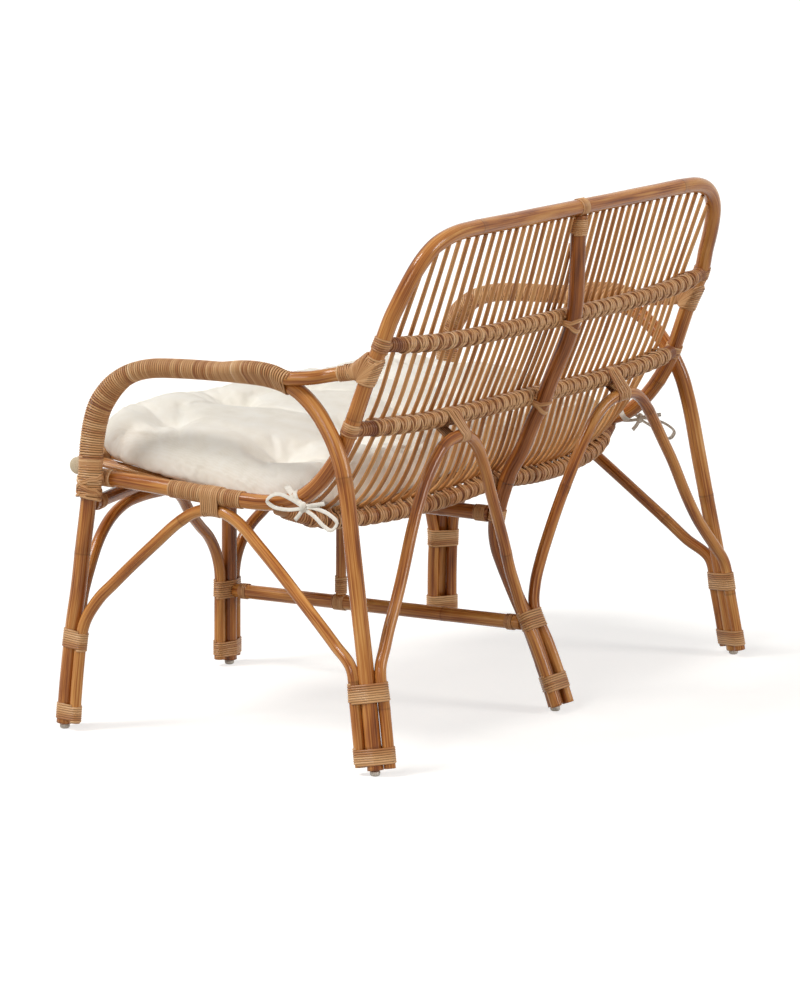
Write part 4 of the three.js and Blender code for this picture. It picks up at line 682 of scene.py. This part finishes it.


# The ties lie over a plain winding of each band's pole, darkened as painted shade in the gaps
# between the ties. Turns of peel go round the hoop at the ends of the two back bands, and the lower
# one is bound to the top of each rear brace.
for name, line, spots, seed in [
        ("upper_band", upper_band_line, cane_upper, 301), ("lower_band", lower_band_line, cane_lower, 302),
        ("seat_band", seat_band_line, cane_rear, 303)]:
    ties = cane_ties(line, np.vstack([spots, spots * mirror, spots[:1] * (0, 1, 1)]), seed)
    under_ties = wound(line, band_radius - 0.001, 0.013, lengths(line)[-1] - 0.013, seed + 20, outward=upward,
                       pitch=0.005, tip=0.003)
    # Painted shade: the winding under the ties is made darker so that the gaps between ties look shaded.
    under_ties["tone"] = under_ties["tone"] - 0.42
    rings = []
    if name == "seat_band":
        for tie in ties:
            tie["tone"] = tie["tone"] - 0.2
    else:
        on_hoop = nearest_length(hoop_line, line[0])
        rings.append(ring(hoop_line, pole_radius, on_hoop, 0.024, seed, outward=rearward))
    if name == "lower_band":
        apex = nearest_length(line, rear_brace_line[np.argmax(rear_brace_line[:, 2])])
        rings.append(ring(line, lashed_radius, apex, 0.036, 305, others=[(rear_brace_line, cane_radius)],
                          outward=upward, steps=28, tip=0.011, pitch=0.006))
    rings = [tube for made in rings for tube in (made, reflected(made))]
    inner_pole = pole(line, band_radius - 0.001, upward, seed, sides=14)
    piece(name + "_bound", [*ties, inner_pole, under_ties, *rings], peel, name)

# Front rail. A straight-grained pole wound from end to end, so that the canes' ends and the nails
# that hold them are covered. Its own sawn ends stay bare: pale, a little domed and full of pores,
# which are drawn 1 mm apart, over twice the real spacing, so that they show.
piece("front_rail_wound", [
    pole(front_rail_line, front_rail_radius - 0.0022, upward, 331),
    wound(front_rail_line, front_rail_radius - 0.0021, 0.004, lengths(front_rail_line)[-1] - 0.004, 332,
          outward=upward, steps=12)], peel, "front_rail")
cut_end = blank("cut rattan end")
place_on = node(cut_end, "TexCoord").outputs["Object"]
pores = node(cut_end, "TexVoronoi", {"Vector": place_on, "Scale": 900.0})
colour = node(cut_end, "ValToRGB", {"Fac": pores}, stops=[
    (0.1, "#b39a78"), (0.4, "#cdbb9c"), (0.8, "#dccdb2")])
cut_end = finish_of(cut_end, "rattan_pole", {"Base Color": colour, "Roughness": 0.7})
bulge = np.linspace(0, np.pi / 2 - 0.1, 9)
along, first, second = frames(front_rail_line, upward)
turn = np.linspace(0, 2 * np.pi, 28, endpoint=False)
cap_depth, cap_radius = 0.0035, front_rail_radius + 0.0003
cap = (front_rail_line[-1] + cap_depth * np.sin(bulge)[:, None, None] * along[-1]
       + cap_radius * np.cos(bulge)[:, None, None] * (
           np.cos(turn)[:, None] * first[-1] + np.sin(turn)[:, None] * second[-1]))
cap = {"points": cap, "skin": cap, "mark": 0.0, "tone": 0.5}
piece("front_rail_cut_ends", [cap, reflected(cap)], cut_end)

# Leg lashings. Peel wound round each foot's bundle of three poles, eight turns above and seven
# below; at the middle legs the upper lashing goes on round the end of the stretcher.
stretcher_full = even(stretcher_ends, 0.004)
stretcher_end = lengths(stretcher_full)[-1]
stubs = {"middle_front": (0.0235, 0.0405), "middle_rear": (stretcher_end - 0.0405, stretcher_end - 0.0235)}
for leg, line, rear, canes, upper, lower in [
        ("front", arch_line, False, (side_brace_line, front_brace_line), 0.37, 0.072),
        ("rear", arch_line, True, (side_brace_line, rear_brace_line), 0.321, 0.075),
        ("middle_front", front_leg_full, None, (front_brace_line, front_brace_line * mirror), 0.334, 0.079),
        ("middle_rear", spine_line, None, (rear_brace_line, rear_brace_line * mirror), 0.36, 0.109)]:
    for part, level, length in [("upper", upper, 0.033), ("lower", lower, 0.029)]:
        lashed_at = nearest_length(line, near_level(line, height(level), rear))
        tubes = [ring(line, pole_radius, lashed_at, length, 351 if rear is None else 341,
                      others=[(cane, cane_radius) for cane in canes], steps=28)]
        if part == "upper" and leg in stubs:
            tubes.append(wound(stretcher_full, stretcher_radius, *stubs[leg], 352, outward=upward))
        if rear is None:
            piece(f"{leg}_leg_{part}_turns", tubes, peel, f"{leg}_leg_{part}_lashing")
        else:
            both_sides(f"{leg}_leg_{part}_turns", tubes, peel, f"{leg}_leg_{part}_lashing")

# Arm windings. Peel wound in one length from the front leg up over the arm, closing in a short cane
# inside the bend and the start of the arm extension; the sitter's hands rest on it. The short cane
# is 13 mm thick. It shows as a wider winding at the front and fades out along the arm.
short_cane_radius = 0.0065
wind_from = nearest_length(arch_line, near_level(arch_line, height(1.12), False))
on_arm = arch_line[:, 2] > 0.48
wind_to = lengths(arch_line)[on_arm][np.argmin(np.abs(arch_line[on_arm, 1] - at_depth(-0.321)))]
arch_way = unit(np.gradient(arch_line, axis=0))
inward = np.cross(arch_way, [1, 0, 0])               # to the inside of the bend
fading = np.clip((arch_line[:, 1:2] - back_by) / frame_depth, -0.945, -0.745)
fading = 1 - np.sin(np.pi / 2 * (fading + 0.945) / 0.2) ** 2
front_run = arch_line[:, 1] < at_depth(-0.5)
doubled = [((arch_line + fading * (0.002, 0, 0) - 0.005 * fading * inward)[front_run], pole_radius),
           ((arch_line + 0.0134 * fading * inward)[front_run], short_cane_radius)]
arm_wind = wound(arch_line, pole_radius + 0.001, wind_from, wind_to, 361,
                 others=[(extension_line, extension_radius)] + doubled, steps=24)
both_sides("arm_winding_turns", [arm_wind], peel, "arm_winding")

# Joint bindings: on each seat rail with a strap over the side brace, under each arm extension's
# end, round each front corner, and on the spine.
def near_y(line, y):
    """The point of a line nearest to a y."""
    return line[np.argmin(np.abs(line[:, 1] - y))]


rail_run = hoop_line[(hoop_line[:, 0] > 0) & (hoop_line[:, 2] < 0.48)]
rail_middle = nearest_length(hoop_line, near_y(rail_run, at_depth(-0.603)))
brace_apex = side_brace_line[np.argmax(side_brace_line[:, 2])]
strap_at = nearest_length(hoop_line, near_y(rail_run, brace_apex[1]))
both_sides("seat_rail_turns", [
    ring(hoop_line, pole_radius, rail_middle, 0.137, 371, outward=upward),
    ring(hoop_line, pole_radius + 0.0015, strap_at, 0.036, 372, outward=upward,
         others=[(side_brace_line, cane_radius)], steps=28)], peel, "seat_rail_binding")
# The fan of peel at the arm extension's end is drawn flat, along the extension and up the post.
joint_at = nearest_length(hoop_line, on_post)
extension_run = lengths(extension_line)[-1]
to_arm = unit(at_lengths(extension_line, [extension_run - 0.03])[0] - on_post)
up_post = unit(at_lengths(hoop_line, [joint_at + 0.004])[0] - at_lengths(hoop_line, [joint_at - 0.004])[0])
up_post = up_post * np.sign(up_post[2])
fan_up = unit(up_post - (up_post @ to_arm) * to_arm)
fan_side = np.cross(to_arm, fan_up)
post_way = np.array([up_post @ to_arm, up_post @ fan_up])
post_front = np.array([post_way[1], -post_way[0]])
under_arm, before_post = extension_radius + 0.0012, pole_radius + 0.0012
up_reach, down_reach = 0.0245, 0.0225                # the binding's ends on the post, from the joint
corner = ((-under_arm - before_post * post_front[1]) / post_way[1]) * post_way + before_post * post_front
fan_edge = np.array([
    [0.046, under_arm], [0.028, under_arm + 0.001], up_reach * post_way + before_post * post_front,
    up_reach * post_way - before_post * post_front, -down_reach * post_way - before_post * post_front])


def fan(turns, seed):
    """Peel wound so that every turn passes the lower corner of the joint. Each turn lies in a
    plane through that corner; the plane swings from the arm extension to the back of the post,
    and the turn is the tight outline of a circle at the corner and one at the fan's edge."""
    luck = np.random.default_rng(seed)
    turn = np.linspace(0, 2 * np.pi * turns, turns * 22 + 1)
    target = at_lengths(fan_edge, lengths(fan_edge)[-1] * (0.02 + 0.96 * turn / turn[-1]))
    ray = target - corner
    far = np.linalg.norm(ray, axis=1)
    ray = unit(ray)
    forward = ray[:, :1] * to_arm + ray[:, 1:] * fan_up
    side = np.broadcast_to(fan_side, forward.shape)
    width = 0.0118 + 0.0017 * turn / turn[-1]
    x = np.array([width - 0.001, np.maximum(far - width, width - 0.001)])
    px, py = round_circles(x, 0 * x, np.array([width, width]), turn)
    middle = on_post + corner[0] * to_arm + corner[1] * fan_up
    centre = np.broadcast_to(middle, forward.shape)
    tone = turn_tones(luck, turn, turns, 0.16)
    return strip(centre, (np.cross(forward, side), forward, side), px, py, turn, 0.0046, 0.0014, tone)


both_sides("arm_joint_turns", [
    wound(hoop_line, pole_radius, joint_at - down_reach, joint_at + up_reach, 373, outward=rearward),
    wound(extension_line, extension_radius, extension_run - 0.0565, extension_run - 0.0135, 374,
          outward=upward),
    fan(26, 378)], peel, "arm_joint_binding")
corner_at = nearest_length(arch_line, near_level(arch_line, height(1.053), False))
corner_turns = [
    wound(arch_line, pole_radius + 0.001, corner_at - 0.033, corner_at + 0.034, 375, others=doubled,
          steps=24),
    wound(hoop_line, pole_radius, 0.003, 0.028, 376, outward=upward, pitch=0.003),
    wound(lower_rail_line, lower_rail_radius, 0.0165, 0.0405, 377, outward=upward, pitch=0.003)]
over_doubled = [(line, radius + 0.0014) for line, radius in doubled]
for middle, tip, seed in [(-0.006, 0.012, 365), (-0.0095, 0.012, 366), (-0.011, -0.011, 367),
                          (-0.0145, -0.011, 368), (-0.027, 0.005, 369), (-0.028, -0.005, 370)]:
    corner_turns.append(wound(
        arch_line, pole_radius + 0.0024, corner_at + middle - 0.0028, corner_at + middle + 0.0028, seed,
        others=over_doubled, steps=28, tip=tip, pitch=0.0028))
both_sides("front_corner_turns", corner_turns, peel, "front_corner_lashing")
collar_from = nearest_length(spine_line, top_middle)
piece("spine_top_turns", [
    ring(hoop_line, pole_radius, nearest_length(hoop_line, top_middle), 0.024, 381, outward=upward),
    wound(spine_line, pole_radius, collar_from + 0.0145, collar_from + 0.045, 382)], peel,
    "spine_top_lashing")
for name, line, seed in [("upper", upper_band_line, 383), ("lower", lower_band_line, 384)]:
    crossing = nearest_length(spine_line, line[np.argmin(np.abs(line[:, 0]))])
    piece(f"spine_{name}_turns", [
        wound(spine_line, pole_radius, crossing - 0.005, crossing + 0.005, crossing_seed,
              others=[(line, band_radius + 0.002)], steps=24, tip=tip, pitch=0.0045)
        for crossing_seed, tip in ((seed, 0.009), (seed + 10, -0.009))], peel, f"spine_{name}_lashing")
centre_run = lengths(centre_rail_line)[-1]
piece("spine_seat_turns", [
    ring(spine_line, pole_radius, nearest_length(spine_line, near_level(spine_line, centre_z)), 0.026, 385),
    wound(centre_rail_line, centre_rail_radius, centre_run - 0.0285, centre_run - 0.0025, 386,
          outward=upward)], peel, "spine_seat_lashing")
strut_at = nearest_length(stretcher_line, np.array([0, strut_y, strut_low]))
piece("strut_foot_turns", [
    ring(stretcher_line, stretcher_radius, strut_at, 0.026, 387, outward=upward),
    wound(strut_line, strut_radius, 0.002, 0.034, 388)], peel, "strut_foot_lashing")

# Glides. A pale moulded nylon foot, nailed under each leg, keeps the pole's end grain off a wet
# floor. Nylon is milky and faintly uneven, with a low gloss.
nylon = blank("moulded nylon")
place_on = node(nylon, "TexCoord").outputs["Object"]
speck = node(nylon, "TexNoise", {"Vector": place_on, "Scale": 420.0, "Detail": 2.0})
colour = node(nylon, "ValToRGB", {"Fac": speck}, stops=[
    (0.3, "#bdb4a8"), (0.6, "#d8d1c6"), (1.0, "#e3ddd3")])
bump = node(nylon, "Bump", {"Height": speck, "Strength": 0.2, "Distance": 0.0002})
nylon = finish_of(nylon, "glide_nylon", {
    "Base Color": colour, "Roughness": 0.45, "Normal": bump, "IOR": 1.53})
# Radius against height; the profile goes once round a standing axis.
glide_profile = np.array([
    [0.0034, 0.0], [0.0055, 0.0001], [0.0068, 0.0009], [0.0078, 0.0026], [0.008, 0.0048], [0.0079, 0.0064],
    [0.0072, 0.0076], [0.0060, 0.0080]])
turn = np.linspace(0, 2 * np.pi, 32, endpoint=False)
for name in ("front_glide_left", "front_glide_right", "rear_glide_left", "rear_glide_right",
             "middle_front_glide", "middle_rear_glide"):
    low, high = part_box(name)
    x = glide_profile[:, :1] * np.cos(turn) + (low[0] + high[0]) / 2
    y = glide_profile[:, :1] * np.sin(turn) + (low[1] + high[1]) / 2
    points = np.stack(np.broadcast_arrays(x, y, glide_profile[:, 1:]), axis=-1)
    piece(name + "_pad", [{"points": points, "skin": points, "mark": 0.0, "tone": 0.5}], nylon, name)

# Seat cushion. A cotton pad with a loose fibre filling, stitched through in ten places; it lies on
# the thin canes and bulges softly between the stitches.
cushion_width, cushion_depth, cushion_thickness = 2 * (post_x - pole_radius - 0.0009), 0.434, 0.084
cushion_front = front_y + front_rail_radius + 0.024
seat_y = np.linspace(cushion_front - 0.02, seat_band_line[0, 1] + 0.09, 90)
seat_grid, flare = [], []
for line in cane_lines:
    lying = line[::-1][:np.argmax(line[::-1, 1]) + 1]
    slope = np.gradient(lying[:, 2], lying[:, 1])
    seat_grid.append(np.interp(seat_y, lying[:, 1], lying[:, 2] + slat_radius * np.hypot(1, slope)))
    flare.append(np.interp(seat_y, lying[:, 1], lying[:, 0]))
seat_grid, flare = np.array(seat_grid), np.array(flare)[-1] / slat_x[-1]


def seat_top(x, y):
    """The height of the canes' upper side: read between the canes in x and between the rows in y."""
    row = np.clip((y - seat_y[0]) / (seat_y[1] - seat_y[0]), 0, len(seat_y) - 1.001)
    cane = np.interp(np.abs(x) / np.interp(y, seat_y, flare), slat_x, np.arange(len(slat_x)))
    cane = np.clip(cane, 0, len(slat_x) - 1.001)
    j, i = row.astype(int), cane.astype(int)
    a, b = row - j, cane - i
    return ((seat_grid[i, j] * (1 - b) + seat_grid[i + 1, j] * b) * (1 - a)
            + (seat_grid[i, j + 1] * (1 - b) + seat_grid[i + 1, j + 1] * b) * a)


tuft_x = ((np.arange(5) + 0.5) / 5 - 0.5) * cushion_width
tuft_y = ((np.arange(2) + 0.5) / 2 - 0.5) * cushion_depth
tufts = np.array([[x, y] for x in tuft_x for y in tuft_y])
tuft_pairs = [(k, k + 1) for k in range(0, 10, 2)] + [(k, k + 2) for k in range(8)]


def tuft_pull(x, y, reach, power):
    """How far a place is drawn in: 1 at a stitch, falling to 0 at its reach."""
    away = np.hypot(x[..., None] - tufts[:, 0], y[..., None] - tufts[:, 1]).min(-1) / reach
    return np.maximum(0, 1 - away) ** power


def creases(x, y):
    """Soft valleys between stitches: for each pair of neighbours, the distance to the line
    between them, turned into a bell."""
    depth = np.zeros(np.shape(x))
    for a, b in tuft_pairs:
        way = tufts[b] - tufts[a]
        share = np.clip(((x - tufts[a, 0]) * way[0] + (y - tufts[a, 1]) * way[1]) / (way @ way), 0, 1)
        away = np.hypot(x - tufts[a, 0] - share * way[0], y - tufts[a, 1] - share * way[1])
        depth = np.maximum(depth, np.exp(-(away / 0.016) ** 2) * (0.35 + 0.65 * (2 * share - 1) ** 2))
    return depth


def cushion_place(u, v, top, inset):
    """A pillow on the canes. Its outline is a rectangle with rounded corners; its height is the
    square root of (1 - u^14)(1 - v^14), with a crown, the stitches' dips and the valleys between
    them. Front and rear edge lift a little, the front corners more, and the front sags between
    its middle and the right arm."""
    x = u * (1 - 0.068 * v**4) * (cushion_width / 2 - inset)
    y = v * (1 - 0.068 * u**4) * (cushion_depth / 2 - inset)
    edge = np.sqrt(np.maximum(0, (1 - np.abs(u) ** 14) * (1 - np.abs(v) ** 14)))
    crown = 0.004 * (1 - u**2) * (1 - v**2)
    pull = tuft_pull(x, y, 0.088, 1.5) * 0.02
    under = 0.1 * cushion_thickness
    if top:
        sag = np.clip(0.5 - 0.9 * u, 0, 1) * np.clip(0.2 - v, 0, 1)
        rise = (cushion_thickness - under - inset) * edge + crown - pull - 0.007 * creases(x, y)
        rise = rise + (0.008 * u**4 * np.clip(0.6 - v, 0, 1) - 0.015 * sag * edge)
    else:
        rise = 0.3 * pull - (under - inset / 2) * edge
    y = y + cushion_front + cushion_depth / 2
    base = seat_top(x, np.minimum(y, seat_band_line[0, 1])) + clear
    z = np.maximum(base + under + rise + 0.0086 * v**6, seat_top(x, y) + 0.0036)
    return np.stack([x, y, z], axis=-1)


def crowded(count):
    """Rows from -1 to 1 that crowd towards the edges, as the sine of a sine."""
    return np.sin(np.pi / 2 * np.sin(np.pi / 2 * np.linspace(-1, 1, count)))


def cushion_mesh(inset, columns, rows):
    """The upper and lower grids of the pillow, joined along their common edge."""
    u, v = np.meshgrid(crowded(columns), crowded(rows), indexing="ij")
    upper, lower = cushion_place(u, v, True, inset), cushion_place(u, v, False, inset)
    index = np.arange(columns * rows).reshape(columns, rows)
    under = index + columns * rows
    under[[0, -1], :], under[:, [0, -1]] = index[[0, -1], :], index[:, [0, -1]]
    top = np.stack([index[:-1, :-1], index[1:, :-1], index[1:, 1:], index[:-1, 1:]], axis=-1).reshape(-1, 4)
    low = np.stack([under[:-1, :-1], under[:-1, 1:], under[1:, 1:], under[1:, :-1]], axis=-1).reshape(-1, 4)
    used, faces = np.unique(np.concatenate([top, low]), return_inverse=True)
    mesh = bpy.data.meshes.new("seat_cushion_pad")
    mesh.from_pydata(np.concatenate([upper.reshape(-1, 3), lower.reshape(-1, 3)])[used], [],
                     faces.reshape(-1, 4).tolist())
    mesh.polygons.foreach_set("use_smooth", [True] * len(mesh.polygons))
    return mesh


cushion = bpy.data.objects.new("seat_cushion_pad", cushion_mesh(0.004, 150, 80))
bpy.context.scene.collection.objects.link(cushion)


def corners_of(mesh):
    """The places of a mesh's corners as an array."""
    found = np.empty(len(mesh.vertices) * 3)
    mesh.vertices.foreach_get("co", found)
    return found.reshape(-1, 3)


def made_mesh(made):
    """The object's mesh with its modifiers worked out; the modifiers are then taken off."""
    shown = made.evaluated_get(bpy.context.evaluated_depsgraph_get())
    mesh = bpy.data.meshes.new_from_object(shown)
    made.modifiers.clear()
    made.data = mesh
    return mesh


# The pad is blown up a little as cloth, held lightly at its sides and fast at its stitches.
remesh = cushion.modifiers.new("remesh", "REMESH")
remesh.mode, remesh.voxel_size = "VOXEL", 0.006
start = corners_of(made_mesh(cushion))
pins = cushion.vertex_groups.new(name="stitches")
in_y = start[:, 1] - cushion_front - cushion_depth / 2
held = tuft_pull(start[:, 0], in_y, 0.011, 0.3) > 0
side = np.maximum(np.abs(start[:, 0]) - cushion_width / 2, np.abs(in_y) - cushion_depth / 2) > -0.02
pins.add(np.nonzero(side)[0].tolist(), 0.5, "REPLACE")
pins.add(np.nonzero(held)[0].tolist(), 1.0, "REPLACE")
cloth = cushion.modifiers.new("cloth", "CLOTH")
for key, value in {
        "quality": 6, "mass": 0.25, "tension_stiffness": 8, "compression_stiffness": 8,
        "shear_stiffness": 3, "bending_stiffness": 0.15, "use_pressure": True,
        "uniform_pressure_force": 4, "vertex_group_mass": "stitches", "shrink_min": -0.05}.items():
    setattr(cloth.settings, key, value)
cloth.settings.effector_weights.gravity = 0
cloth.collision_settings.use_collision = False
for frame_number in range(1, 21):
    bpy.context.scene.frame_set(frame_number)
swelled = corners_of(made_mesh(cushion))
bpy.context.scene.frame_set(1)
move = swelled - start
most = 0.009                                     # no point swells farther than this
far = np.linalg.norm(move, axis=1, keepdims=True)
swelled = start + move * np.minimum(1, most / np.maximum(far, 1e-9))
swelled[:, 2] = np.maximum(swelled[:, 2], seat_top(swelled[:, 0], swelled[:, 1]) + 0.001)
cushion.data.vertices.foreach_set("co", swelled.ravel())
cushion.data.polygons.foreach_set("use_smooth", [True] * len(cushion.data.polygons))
cushion.data.update()
finer = cushion.modifiers.new("finer", "SUBSURF")
finer.levels = finer.render_levels = 1
made_mesh(cushion)

# Unbleached cotton, plain weave of soft yarn about 0.7 mm apart, drawn 2 mm apart so that it can
# be seen: matt, a faint fuzz against the light, and a slight shade along each yarn.
cotton = blank("plain woven cotton")
place_on = node(cotton, "TexCoord").outputs["Object"]
warp, weft = [node(cotton, "TexWave", {
    "Vector": place_on, "Scale": 150.0, "Distortion": 0.6, "Detail": 1.0, "Detail Scale": 2.0},
    bands_direction=direction).outputs["Fac"] for direction in "XY"]
woven = node(cotton, "Math", {0: warp, 1: weft}, operation="ADD")
cloud = node(cotton, "TexNoise", {"Vector": place_on, "Scale": 22.0, "Detail": 5.0, "Roughness": 0.6})
shade = node(cotton, "Math", {0: woven, 1: 0.1, 2: cloud}, operation="MULTIPLY_ADD")
colour = node(cotton, "ValToRGB", {"Fac": shade}, stops=[
    (0.3, "#ebe4d5"), (0.55, "#f5efe2"), (0.8, "#faf6ec")])
loose = node(cotton, "TexNoise", {"Vector": place_on, "Scale": 55.0, "Detail": 3.0})
folds = node(cotton, "Bump", {"Height": loose, "Strength": 0.25, "Distance": 0.002})
bump = node(cotton, "Bump", {"Height": woven, "Strength": 0.25, "Distance": 0.0004, "Normal": folds})
cotton = finish_of(cotton, "cushion_cotton", {
    "Base Color": colour, "Roughness": 0.95, "Normal": bump, "Sheen Weight": 0.15, "Sheen Roughness": 0.5,
    "IOR": 1.4})
cushion.data.materials.clear()
cushion.data.materials.append(cotton[0])
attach(cushion, "root")
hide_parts("seat_cushion")

# Ties. A cotton tape sewn into each rear corner of the cushion goes round the hoop's bend and is
# tied in a bow outside it. The tape is soft and matt, with ribs 1.2 mm apart across it.
tape_cloth = blank("woven cotton tape")
skin = node(tape_cloth, "Attribute", attribute_name="skin").outputs["Vector"]
rib = node(tape_cloth, "TexWave", {"Vector": skin, "Scale": 260.0}, bands_direction="Z").outputs["Fac"]
soft = node(tape_cloth, "TexNoise", {"Vector": skin, "Scale": 90.0, "Detail": 3.0})
colour = node(tape_cloth, "ValToRGB", {"Fac": soft}, stops=[
    (0.3, "#e0d9cb"), (0.55, "#ede8dd"), (0.8, "#f3efe6")])
bump = node(tape_cloth, "Bump", {"Height": rib, "Strength": 0.3, "Distance": 0.0003})
tape_cloth = finish_of(tape_cloth, "cotton_tape", {
    "Base Color": colour, "Roughness": 0.92, "Normal": bump, "Sheen Weight": 0.15, "IOR": 1.4})
tie_spot = near_y(rail_run, at_depth(-0.318))
knot_spot = np.array([tie_spot[0] + 0.0185, 0.152, 0.3885])


def tape(points, width, faces_to, thick=0.0008):
    """A flat tape along a bent line: its width lies square to the run and to the way it faces."""
    line = bend(points, 0.003)
    out, side = frames(line, faces_to)[1:]
    a, o = np.array([1, 0.9, -0.9, -1, -0.9, 0.9]) * width / 2, np.array([0, 1, 1, 0, -1, -1]) * thick / 2
    points = line[:, None] + a[None, :, None] * -side[:, None] + o[None, :, None] * out[:, None]
    skin = np.stack(np.broadcast_arrays(a[None, :], o[None, :], lengths(line)[:, None]), axis=-1)
    return {"points": points, "skin": skin, "mark": 0.0, "tone": 0.5}


loop_front = knot_spot + np.array([
    [0, 0, 0], [0.0005, -0.017, 0.008], [0.001, -0.042, 0.0155], [0.001, -0.056, 0.0125],
    [0.001, -0.0665, 0.003], [0.001, -0.055, -0.005], [0.0005, -0.028, -0.007], [0, 0, -0.002]])
loop_rear = knot_spot + np.array([
    [0, 0, 0.001], [0.001, 0.028, -0.0005], [0.003, 0.05, -0.0065], [0.004, 0.064, -0.017],
    [0.005, 0.055, -0.0295], [0.004, 0.041, -0.0255], [0.002, 0.022, -0.0125], [0, 0, -0.002]])
tail_front = knot_spot + np.array([[0, 0, -0.001], [0.001, -0.006, -0.0115], [0.0015, -0.0145, -0.0215]])
tail_rear = knot_spot + np.array([[0, 0, 0], [0.001, 0.018, 0.0045], [0.0015, 0.0395, 0.0095]])
strap_up = np.array([[0.4647, 0.0998, 0.4107], [0.4777, 0.1139, 0.4082], [0.4887, 0.1316, 0.4], knot_spot])
tie = [tape(points, width, faces_to) for points, width, faces_to in [
    (loop_front, 0.0062, (1, 0, 0.6)), (loop_rear, 0.0062, (1, 0, 0.6)), (tail_front, 0.0065, sideways),
    (tail_rear, 0.0065, sideways), (strap_up, 0.0095, (1, 0.3, 1.2))]]
tie.append(ring(hoop_line, pole_radius, nearest_length(hoop_line, tie_spot), 0.014, 391, outward=upward,
                pitch=0.007, thick=0.001))
ball = np.linspace(0.12, np.pi - 0.12, 12)[:, None]
turn = np.linspace(0, 2 * np.pi, 20, endpoint=False)
knot = knot_spot + (0.001, 0, 0) + np.stack(np.broadcast_arrays(
    0.005 * np.sin(ball) * np.sin(turn), 0.0062 * np.sin(ball) * np.cos(turn),
    -0.0085 * np.cos(ball)), axis=-1)
knot = knot[:, ::-1]
tie.append({"points": knot, "skin": knot - knot_spot, "mark": 0.0, "tone": 0.5})
both_sides("cushion_tape", tie, tape_cloth, "cushion_tie")

# Floor, light and camera. A pale floor that keeps a soft shadow, white all round, a broad even
# light from high on the left of the view, and two weaker ones from its middle and its right.
def plain_rays(owner):
    """1 for a ray from the camera, off gloss or through glass, and 0 for light on the object."""
    seen = node(owner, "LightPath").outputs
    rays = node(owner, "Math", {0: seen["Is Camera Ray"], 1: seen["Is Glossy Ray"]}, operation="MAXIMUM")
    return node(owner, "Math", {0: rays, 1: seen["Is Transmission Ray"]}, operation="MAXIMUM")


pale_floor = blank("pale matt floor")
matt = node(pale_floor, "BsdfDiffuse", {"Color": linear("#c4c1bb")})
lit = node(pale_floor, "Math", {0: plain_rays(pale_floor), 1: 0.66}, operation="MULTIPLY")
glow = node(pale_floor, "Emission", {"Color": (1, 1, 1, 1), "Strength": lit})
both = node(pale_floor, "AddShader", {0: matt, 1: glow})
node(pale_floor, "OutputMaterial", {"Surface": both})
floor_mesh = bpy.data.meshes.new("floor")
floor_mesh.from_pydata([(-30, -30, 0), (30, -30, 0), (30, 30, 0), (-30, 30, 0)], [], [(0, 1, 2, 3)])
floor_mesh.materials.append(pale_floor)
floor = bpy.data.objects.new("floor", floor_mesh)
bpy.context.scene.collection.objects.link(floor)

world = bpy.data.worlds.new("white room")
bpy.context.scene.world = world
world.use_nodes = True
world.node_tree.nodes.clear()
strength = node(world, "MapRange", {"Value": plain_rays(world), 3: 0.17, 4: 1.0})
sky = node(world, "Background", {"Color": (1, 1, 1, 1), "Strength": strength})
node(world, "OutputWorld", {"Surface": sky})


def lamp(name, way, strength):
    """A far lamp that looks 20 degrees wide, shining along a direction."""
    light = bpy.data.lights.new(name, "SUN")
    light.angle, light.energy = 0.35, strength
    made = bpy.data.objects.new(name, light)
    tip = np.arctan2(np.hypot(way[0], way[1]), -way[2])
    made.rotation_euler = (tip, 0, np.arctan2(way[1], way[0]) - np.pi / 2)
    bpy.context.scene.collection.objects.link(made)


lamp("key", (-0.5, 0.45, -1.0), 2.1)
lamp("fill", (-1.0, -0.1, -0.5), 0.68)
lamp("back", (0.3, -1.0, -0.5), 1.2)

# The camera's place, turns and lens come from matching points on the two halves of the frame.
camera = bpy.data.objects.new("camera", bpy.data.cameras.new("camera"))
camera.data.lens, camera.data.sensor_width, camera.data.sensor_fit = 254.85, 36, "HORIZONTAL"
camera.data.clip_end = 100
yaw, pitch, roll = -2.15178557, 0.181003972, 0.00427882
look = np.array([np.sin(yaw) * np.cos(pitch), np.cos(yaw) * np.cos(pitch), -np.sin(pitch)])
right = np.array([np.cos(yaw), -np.sin(yaw), 0])
up = np.cross(right, look)
right, up = np.cos(roll) * right + np.sin(roll) * up, np.cos(roll) * up - np.sin(roll) * right
stand = np.eye(4)
stand[:3, 0], stand[:3, 1], stand[:3, 2], stand[:3, 3] = right, up, -look, (7.477, 4.91088, 1.946)
camera.matrix_world = stand.T.tolist()
bpy.context.scene.collection.objects.link(camera)
bpy.context.scene.camera = camera
bpy.context.scene.view_settings.view_transform = "Standard"

bpy.context.view_layer.update()
